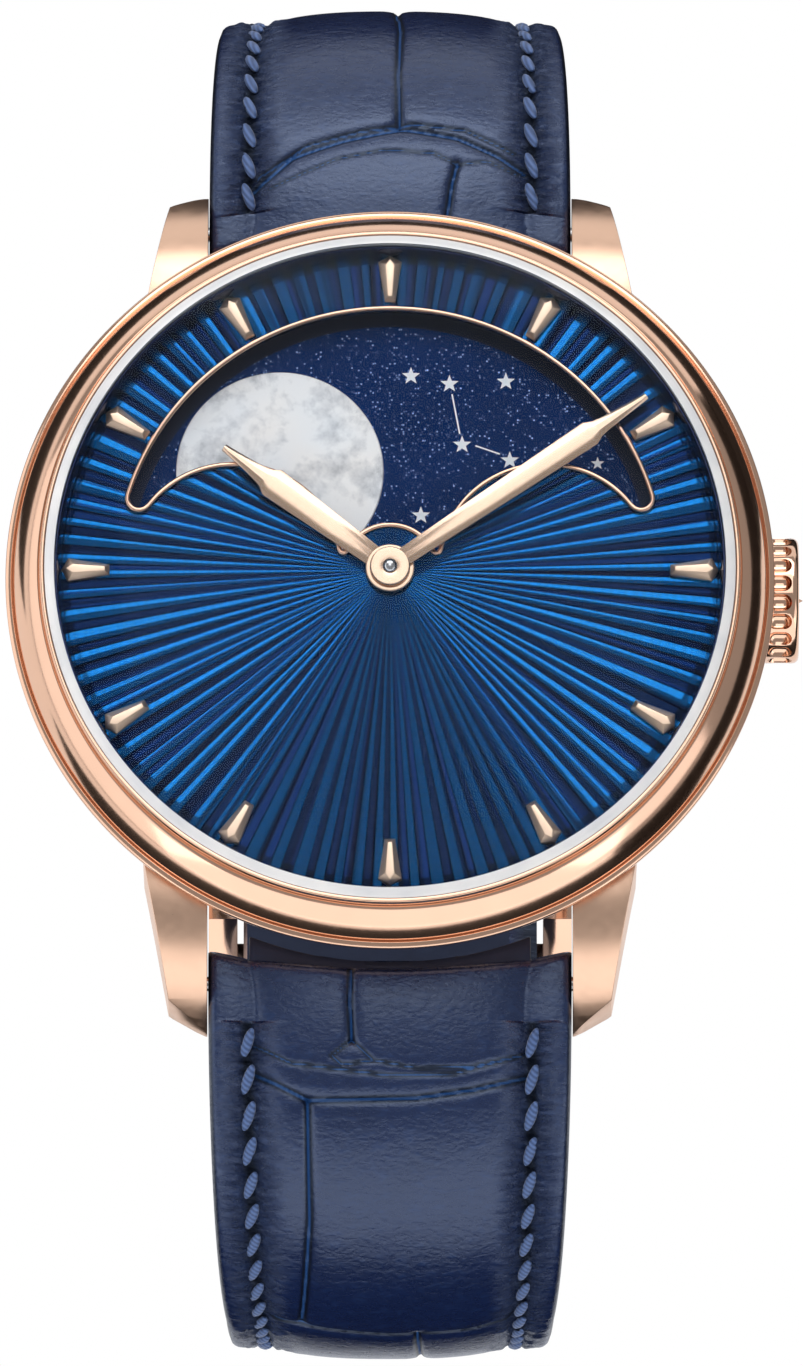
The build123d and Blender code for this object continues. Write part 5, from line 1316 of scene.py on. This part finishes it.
strapValues = {
    "top": 3.8, "startY": 19.6, "bendY": 22.0, "bendRadius": 16.0, "lowRadius": 26.0, "barY": 2.2,
    "lugThick": 4.0, "sideThick": 2.9, "buckleThick": 2.2, "tailThick": 2.0, "tailGap": 0.3, "tailTurn": 61.5,
    "slopeStart": 5.5, "slopeEnd": -0.3, "slopeShift": 0.5, "tailHalf": 7.95, "tailStart": 75.0,
    "tipLength": 9.0, "tipShare": 0.16, "tipPower": 2.2, "wrapReach": 1.15,
    "lugHalf": 9.94, "sideHalf": 9.0, "buckleHalf": 8.2, "sideHeight": -12.2, "lowHeight": -38.2,
    "steps": {"start": 24, "bend": 250, "low": 400, "bar": 98, "wrap": 12, "tail": 300}, "slopeStep": 0.1,
    "roundTurns": 3, "roundReach": 12,  # how often and how far the tail's side line is smoothed
    "pad": 0.85, "padShare": 0.735, "padFull": 30.0, "padGone": 56.0, "padLeft": 0.22, "padPowers": (2.6, 0.72),
    "padWiden": 0.05, "widenLength": 3.6, "marginSwell": 0.12,
    "edge": 0.45, "endCurve": 1.25, "endFade": 3.0, "endRound": 0.8, "endDrop": 1.5, "underLift": 0.8,
    "endRows": [0, 0.05, 0.11, 0.18, 0.27, 0.38, 0.52, 0.68, 0.86], "fineStep": 0.15, "fineEnd": 28.0,
    "wideStep": 0.5, "topColumns": 140, "sideColumns": 3, "underColumns": 12, "columnPower": 0.92,
    "wallFoot": 0.3, "underShare": 0.975, "reach": 2.0, "edgeDark": 0.3, "wallDark": 0.5, "dipShare": 0.5,
    "stitchShare": 0.785, "stitchPitch": 2.1, "stitchLength": 1.75, "stitchWidth": 0.60, "stitchLean": 18.0,
    "stitchTall": 0.42, "stitchSink": 0.10, "bare": (66, 72), "lastStitch": {False: 3.0, True: 5.0},
    "seamReach": 2.4, "seamOver": 1.2, "holeWidth": 0.30, "holeLength": 0.34, "holeDepth": 0.22,
    "grooveWidth": 0.42, "grooveDepth": 0.16, "crumpleWidth": 1.1, "crumpleDepth": 0.45, "crumpleMiddle": 0.35,
    # the first two values below set the painted shade in the stitch holes and in the seam's groove
    "holeShade": 0.5, "grooveShade": 0.35, "probe": (0.4, 0.5),
    "crumples": [(0.9, 2.4, 3.0, 1.0), (1.5, 4.6, 9.0, 0.5)],  # how fine across and along, layer and share
    "puffStart": 0.4, "puffPlace": 0.9, "puffWidth": 0.5, "puffHeight": 0.035,
    "slot": (2.4, 8.2, 8.0), "slotY": -0.4, "slotZ": -39,
    "holes": 4, "holeRadius": 0.75, "holePitch": 5.5, "holeEnd": 7.5, "holeCut": 5,
}


# 1 at the middle, falling softly to 0 over a few widths
def bell(away, width):
    return math.exp(-(away / width) ** 2)


def mix(first, second, share):
    return first + (second - first) * share


# the strap's side view as outer and inner points, from the lugs to its end, for a half that lies towards +Y
def strapSide(tail):
    v, steps = strapValues, strapValues["steps"]
    sideZ, sideY = v["sideHeight"], v["bendY"] + v["bendRadius"]
    lowY, under = sideY - v["lowRadius"], v["lowHeight"] + v["buckleThick"]
    inRun, inRise = v["bendRadius"] - v["sideThick"], v["bendRadius"] - v["lugThick"]
    lowRun, lowRise = v["lowRadius"] - v["sideThick"], sideZ - under
    pairs = []
    for step in range(steps["start"]):
        y = mix(v["startY"], v["bendY"], step / steps["start"])
        pairs.append((y, v["top"], y, v["top"] - v["lugThick"]))
    for step in range(steps["bend"]):
        a = math.pi / 2 * (1 - step / steps["bend"])
        pairs.append((v["bendY"] + v["bendRadius"] * math.cos(a), sideZ + v["bendRadius"] * math.sin(a),
                      v["bendY"] + inRun * math.cos(a), sideZ + inRise * math.sin(a)))
    for step in range(steps["low"] + 1):
        a = -math.pi / 2 * step / steps["low"]
        pairs.append((lowY + v["lowRadius"] * math.cos(a), sideZ + v["lowRadius"] * math.sin(a),
                      lowY + lowRun * math.cos(a), sideZ + lowRise * math.sin(a)))
    if not tail:
        for step in range(steps["bar"]):
            y = mix(lowY, v["barY"], (step + 1) / steps["bar"])
            pairs.append((y, v["lowHeight"], y, under))
        middle, half = (v["lowHeight"] + under) / 2, (under - v["lowHeight"]) / 2
        for step in range(steps["wrap"]):  # the end wraps round the buckle's bar, and stays a little open
            a = math.pi / 2 * (step + 1) / (steps["wrap"] + 0.5)
            y = v["barY"] - v["wrapReach"] * math.sin(a)
            pairs.append((y, middle - half * math.cos(a), y, middle + half * math.cos(a)))
        return pairs
    tailTop = v["lowHeight"] - v["tailGap"]
    tailLow = tailTop - v["tailThick"]
    corners = [(lowY, v["lowHeight"], under), (v["slopeStart"], v["lowHeight"], under),
               (v["slopeEnd"], tailLow, tailTop), (-lowY, tailLow, tailTop)]
    for (y1, o1, i1), (y2, o2, i2) in zip(corners[:-1], corners[1:]):
        count = int(abs(y2 - y1) / v["slopeStep"])
        for step in range(count):
            t = (step + 1) / count
            y = mix(y1, y2, t)
            shift = v["slopeShift"] if v["slopeEnd"] < y < v["slopeStart"] else 0
            pairs.append((y, mix(o1, o2, t), y + shift, mix(i1, i2, t)))
    inner = v["lowRadius"] + v["tailGap"]
    outer = inner + v["tailThick"]
    for step in range(steps["tail"]):
        a = math.radians(v["tailTurn"]) * (step + 1) / steps["tail"]
        pairs.append((-lowY - outer * math.sin(a), sideZ - outer * math.cos(a),
                      -lowY - inner * math.sin(a), sideZ - inner * math.cos(a)))
    reach = v["roundReach"]
    for again in range(v["roundTurns"]):
        near = [pairs[i - reach:i + reach + 1] for i in range(reach, len(pairs) - reach)]
        pairs[reach:-reach] = [tuple(sum(column) / len(some) for column in zip(*some)) for some in near]
    return pairs


class StrapLine:
    def __init__(self, tail):
        self.tail = tail
        self.pairs = strapSide(tail)
        self.along = [0.0]
        for a, b in zip(self.pairs[:-1], self.pairs[1:]):
            self.along.append(self.along[-1] + math.hypot(b[0] - a[0], b[1] - a[1]))
        self.length = self.along[-1]

    # the outer and the inner point at the distance s along the strap
    def at(self, s):
        s = min(max(s, 0.0), self.length)
        low, high = 0, len(self.along) - 1
        while high - low > 1:
            mid = (low + high) // 2
            low, high = (mid, high) if self.along[mid] <= s else (low, mid)
        share = (s - self.along[low]) / max(1e-9, self.along[high] - self.along[low])
        return [mix(a, b, share) for a, b in zip(self.pairs[low], self.pairs[high])]

    # half of the strap's width at s
    def half(self, s):
        v = strapValues
        z, side = self.at(s)[1], v["sideHeight"]
        if z > side:
            width = mix(v["lugHalf"], v["sideHalf"], min(1.0, (v["top"] - z) / (v["top"] - side)))
        else:
            width = mix(v["sideHalf"], v["buckleHalf"], min(1.0, (side - z) / (side - v["lowHeight"])))
        if self.tail and s > v["tailStart"]:
            width = v["tailHalf"]
            over = (s - (self.length - v["tipLength"])) / v["tipLength"]
            if over > 0:
                width *= max(v["tipShare"], math.sqrt(max(0, 1 - min(1, over) ** v["tipPower"])))
        return width

    # the leather's top over its lining, u across and s along, without creases
    def crown(self, u, s):
        v = strapValues
        place = self.at(s)
        half = self.half(s)
        pad = mix(v["pad"], v["padLeft"], min(1.0, max(0.0, (s - v["padFull"]) / (v["padGone"] - v["padFull"]))))
        padHalf = half * (v["padShare"] + v["padWiden"] * max(0.0, 1 - s / v["widenLength"]) ** 2)
        height = math.hypot(place[0] - place[2], place[1] - place[3]) - pad
        first, second = v["padPowers"]
        if abs(u) < padHalf:
            height += pad * (1 - (abs(u) / padHalf) ** first) ** second
        else:
            height += v["marginSwell"] * math.sin(math.pi * min(1, (abs(u) - padHalf) / max(1e-6, half - padHalf)))
        over = abs(u) - (half - v["edge"])
        if over > 0:
            height -= v["edge"] - math.sqrt(max(0, v["edge"] ** 2 - over ** 2))
        if s < v["endRound"]:
            height -= v["endDrop"] * (1 - math.sqrt(1 - (1 - s / v["endRound"]) ** 2))
        return height

    # the place in space of a height over the lining; the end near the case follows its curve
    def place(self, u, s, height, side):
        v = strapValues
        shift = 0
        if s < 3 * v["endFade"]:
            shift = v["endCurve"] * (1 - min(1, (u / v["lugHalf"]) ** 2)) * bell(s, v["endFade"])
        oy, oz, iy, iz = self.at(s)
        share = height / math.hypot(oy - iy, oz - iz)
        return Vector((u * mm, side * (mix(iy, oy, share) + shift) * mm, mix(iz, oz, share) * mm))


# how far a place is from a line of points
def gapTo(u, s, points):
    best = math.inf
    for (u1, s1), (u2, s2) in zip(points[:-1], points[1:]):
        du, ds = u2 - u1, s2 - s1
        t = min(1.0, max(0.0, ((u - u1) * du + (s - s1) * ds) / (du * du + ds * ds)))
        best = min(best, math.hypot(u - u1 - du * t, s - s1 - ds * t))
    return best


# where the stitches lie along the strap; the tail has none where it passes the buckle
def stitchSpots(line, first):
    v = strapValues
    low, high = v["bare"]
    spots = []
    s = first
    while s < line.length - v["lastStitch"][line.tail]:
        if not (line.tail and low < s < high):
            spots.append(s)
        s += v["stitchPitch"]
    return spots


# the leather's top with its creases and its sewn seam: height, darkness (painted shade in the creases, stitch holes
# and groove, and the edges' paint) and roughness
def leatherTop(line, u, s, half, creases, spots):
    v = strapValues
    height, dark, rough = line.crown(u, s), 0.0, 0.0
    for low, high, points, width, depth, dip in creases:
        if low < s < high:
            away = gapTo(u, s, points)
            if away < v["reach"]:
                height -= depth * bell(away, width) + v["dipShare"] * depth * bell(away, dip)
                # a crease's darkness is painted shade
                dark = max(dark, bell(away, width))
    seam = abs(abs(u) - half * v["stitchShare"])
    if seam < v["seamReach"] and spots[0] - v["seamOver"] < s < spots[-1] + v["seamOver"]:
        near = min(abs(s - spot - v["stitchPitch"] / 2) for spot in spots)
        groove = bell(seam, v["holeWidth"])
        hole = groove * bell(near, v["holeLength"])
        height -= v["grooveDepth"] * bell(seam, v["grooveWidth"]) + v["holeDepth"] * hole
        # painted shade in the stitch holes and the seam's groove
        dark = max(dark, v["holeShade"] * hole, v["grooveShade"] * groove)
        rough = bell(seam, v["crumpleWidth"])
        crumple = sum(share * abs(noise.noise(Vector((u * across, s * along, layer))))
                      for across, along, layer, share in v["crumples"])
        height -= v["crumpleDepth"] * rough * (v["crumpleMiddle"] - crumple)
        if seam > v["puffStart"]:
            beat = math.cos(2 * math.pi * (s - spots[0]) / v["stitchPitch"])
            height -= v["puffHeight"] * bell(seam - v["puffPlace"], v["puffWidth"]) * beat
    # the edge's darkness is its edge paint
    if half - abs(u) < v["edge"] / 2:
        dark = max(dark, v["edgeDark"])
    return height, dark, rough


def makeStrapHalf(name, node, side, tail, creases, firstStitch):
    v = strapValues
    line = StrapLine(tail)
    rows = list(v["endRows"])
    while rows[-1] < v["fineEnd"]:
        rows.append(rows[-1] + v["fineStep"])
    last = rows[-1]
    steps = int((line.length - last) / v["wideStep"])
    rows += [last + (line.length - last) * (i + 1) / steps for i in range(steps)]
    top, wall, under = v["topColumns"], v["sideColumns"], v["underColumns"]
    columns = top + wall + under + wall
    deselect()
    bpy.ops.mesh.primitive_grid_add(x_subdivisions=columns, y_subdivisions=len(rows) - 1, size=2)
    piece = bpy.context.object
    piece.name = name
    mesh = piece.data
    # hollow carries the painted shade and the edge paint, pucker the seam's puckered places, and below the lining
    for mark in ("hollow", "pucker", "below"):
        mesh.attributes.new(mark, "FLOAT", "POINT")
    marks = [mesh.attributes[mark].data for mark in ("hollow", "pucker", "below")]
    spots = stitchSpots(line, firstStitch)
    ends = [[place[1] for place in crease[0]] for crease in creases]
    creases = [(min(s) - v["reach"], max(s) + v["reach"], *crease) for s, crease in zip(ends, creases)]
    for point in mesh.vertices:
        column = round((point.co.x + 1) / 2 * columns)
        s = rows[round((point.co.y + 1) / 2 * (len(rows) - 1))]
        half = line.half(s)
        rough, lower = 0.0, 0.0
        if column == columns:  # the grid's last column meets its first
            u, height, dark = -half, line.crown(-half, s), v["edgeDark"]
        elif column <= top:
            u = half * (2 * column / top - 1)
            u = math.copysign(half * abs(u / half) ** v["columnPower"], u)
            height, dark, rough = leatherTop(line, u, s, half, creases, spots)
        elif column <= top + wall or column > top + wall + under:
            right = column <= top + wall
            u = half * (1 if right else -1)
            height = mix(line.crown(u * 0.999, s), v["wallFoot"], (column - top if right else columns - column) / wall)
            dark = v["wallDark"]
        else:
            u = half * v["underShare"] * (1 - 2 * (column - top - wall) / under)
            height = 0.0 if s > v["endRound"] else v["underLift"] * (1 - s / v["endRound"]) ** 2
            dark, lower = 0.0, 1.0
        point.co = line.place(u, s, height, side)
        for mark, value in zip(marks, (dark, rough, lower)):
            mark[point.index].value = value
    editAll(piece, "EDGE")
    bpy.ops.mesh.remove_doubles(threshold=2e-6)
    bpy.ops.mesh.fill_holes(sides=0)
    selectAll()
    bpy.ops.mesh.normals_make_consistent(inside=False)
    done()
    if tail:
        cutHoles(piece, line, side)
    smooth(piece, 50)
    fit(piece, "watch", finishes["leather"], node)
    piece.data.materials.append(finishes["lining"])
    below = piece.data.attributes["below"].data
    for face in piece.data.polygons:
        if all(below[index].value > 0.9 for index in face.vertices):
            face.material_index = 1
    makeStitches(name + "Stitches", line, side, spots)
    print(name, "made")


# the slot for the buckle's tongue and the holes along the tail
def cutHoles(piece, line, side):
    v = strapValues
    slot = block("slot", *v["slot"])
    slide(y=v["slotY"], z=v["slotZ"])
    done()
    cutAway(piece, slot)
    for index in range(v["holes"]):
        oy, oz, iy, iz = line.at(line.length - v["holeEnd"] - index * v["holePitch"])
        out = Vector((0, side * (oy - iy), oz - iz)).normalized().to_track_quat("Z", "Y").to_matrix().to_4x4()
        middle = Vector((0, side * (oy + iy) / 2, (oz + iz) / 2)) * mm
        cutAway(piece, bar(v["holeRadius"], v["holeCut"], Matrix.Translation(middle) @ out, 24))


def makeStitches(name, line, side, spots):
    v = strapValues
    deselect()
    bpy.ops.mesh.primitive_uv_sphere_add(segments=8, ring_count=8, radius=1)
    one = bpy.context.object
    editAll(one)
    scale(v["stitchWidth"] / 2 * mm, v["stitchWidth"] * v["stitchTall"] * mm, v["stitchLength"] / 2 * mm)
    done()
    lean = Matrix.Rotation(math.radians(v["stitchLean"] * side), 4, "Y")
    onward, outward = v["probe"]  # how far off the two places lie that give a stitch its direction
    stitches = []
    for s in spots:
        for edge in (-1, 1):
            u = edge * line.half(s) * v["stitchShare"]
            here, ahead, above = [
                line.place(u, s + on, line.crown(u, s + on) + lift, side)
                for on, lift in ((0, -v["stitchSink"]), (onward, -v["stitchSink"]), (0, outward))
            ]
            along = (ahead - here).normalized()
            wide = (above - here).normalized().cross(along).normalized()
            up = along.cross(wide).normalized()
            twin = copied(one)
            lie = Matrix((wide, up, along)).transposed().to_4x4()
            twin.data.transform(Matrix.Translation(here) @ lie @ lean)
            stitches.append(twin)
    bpy.data.objects.remove(one)
    piece = joined(name, stitches)
    smooth(piece, 80)
    fit(piece, "watch", finishes["thread"])


loopValues = {
    "half": 7.7, "caseRadius": 20.3, "gap": 0.12, "far": 21.6, "top": 2.75, "thick": 2.6, "drop": 0.35,
    "columns": 40, "rows": 4, "bevel": 0.15,
}


# a dark loop of leather follows the case between the lugs and holds the spring bar
def makeBarLoop(name, side):
    v = loopValues
    deselect()
    bpy.ops.mesh.primitive_grid_add(x_subdivisions=v["columns"], y_subdivisions=v["rows"], size=2)
    piece = bpy.context.object
    piece.name = name
    for point in piece.data.vertices:
        x = point.co.x * v["half"]
        share = (point.co.y + 1) / 2
        y = mix(math.sqrt(v["caseRadius"] ** 2 - x * x) + v["gap"], v["far"], share)
        drop = v["drop"] * (1 - math.sqrt(max(0, 1 - (1 - share) ** 6)))
        point.co = (x * mm, side * y * mm, (v["top"] - drop) * mm)
    editAll(piece)
    push(z=-v["thick"])
    done()
    tidy(piece)
    soften(piece, v["bevel"], 2, 50)
    smooth(piece, 40)
    fit(piece, "watch", finishes["lining"])


keeperValues = {
    "fixed": {"y": 8.2, "z": -38.25, "width": 16.7, "height": 4.8},
    "free": {"turn": 22.0, "middle": 26.05, "width": 18.4, "height": 6.0, "y": 12.0, "z": -12.2},
    "wall": 0.8, "length": 5.0, "corner": 1.1, "bevel": 0.16,
}


def makeKeeper(name, node, body, values):
    k = keeperValues
    piece = block(name, values["width"] + 2 * k["wall"], k["length"], values["height"] + 2 * k["wall"])
    pick(piece, lambda face: abs(face.normal.y) > 0.9, "FACE")
    bpy.ops.mesh.delete(type="ONLY_FACE")
    done()
    soften(piece, k["corner"], 6, 60)
    modify(piece, "SOLIDIFY", thickness=k["wall"] * mm, offset=-1)
    soften(piece, k["bevel"], 3, 50)
    if "middle" in values:  # the free keeper lies further round the wrist
        move(piece, z=-values["middle"])
        turn(piece, values["turn"], "X")
    move(piece, y=values["y"], z=values["z"])
    tidy(piece)
    smooth(piece, 40)
    fit(piece, body, finishes["leather"], node)


# a merged copy of a CAD piece of the buckle with its edges bevelled
def refined(node, name, body, width):
    piece = copied(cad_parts[node])
    piece.name = name
    tidy(piece)
    editAll(piece)
    bpy.ops.mesh.dissolve_limited(angle_limit=math.radians(0.5))
    done()
    soften(piece, width, 2)
    smooth(piece, 35)
    fit(piece, body, finishes["polished"], node)


makeStrapHalf("strapTwelve", "strap_12", 1, False, creasesTwelve, 3.6)
makeStrapHalf("strapSix", "strap_6", -1, True, creasesSix, 5.6)
makeBarLoop("barLoopTwelve", 1)
makeBarLoop("barLoopSix", -1)
makeKeeper("fixedKeeper", "fixed_keeper", "watch", keeperValues["fixed"])
makeKeeper("freeKeeper", "free_keeper", "free_keeper", keeperValues["free"])
refined("buckle_frame", "buckleFrame", "watch", 0.25)
refined("buckle_tongue", "buckleTongue", "buckle_tongue", 0.1)
print("strap and buckle made")


# CAD pieces that stay, each with its finish

kept = {
    "polished": ["case_back"],
    "gasket": ["front_gasket", "case_back_gasket", "back_crystal_gasket"],
    "crystal": ["back_crystal"],
    "steel": ["case_back_screws", "stem", "crown_tube", "spring_bar_12", "spring_bar_6", "buckle_bar",
              "winding_pinion", "sliding_pinion", "click", "ratchet_wheel", "crown_wheel", "barrel_arbor",
              "cannon_pinion", "pallet_fork", "escape_wheel"],
    "blued": ["movement_screws", "hairspring"],
    "darkSteel": ["mainspring"],
    "brass": ["movement_holder", "moon_wheel", "minute_wheel", "hour_wheel", "barrel", "center_wheel",
              "third_wheel", "fourth_wheel", "balance_wheel"],
    "striped": ["barrel_bridge", "train_bridge", "balance_cock"],
    "circled": ["main_plate", "pallet_bridge"],
    "darkPlate": ["module_plate"],
    "ruby": ["bridge_jewels"],
}
for finish, names in kept.items():
    for name in names:
        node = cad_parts[name]
        node.data.materials.clear()
        node.data.materials.append(finishes[finish])
print("kept CAD pieces finished")
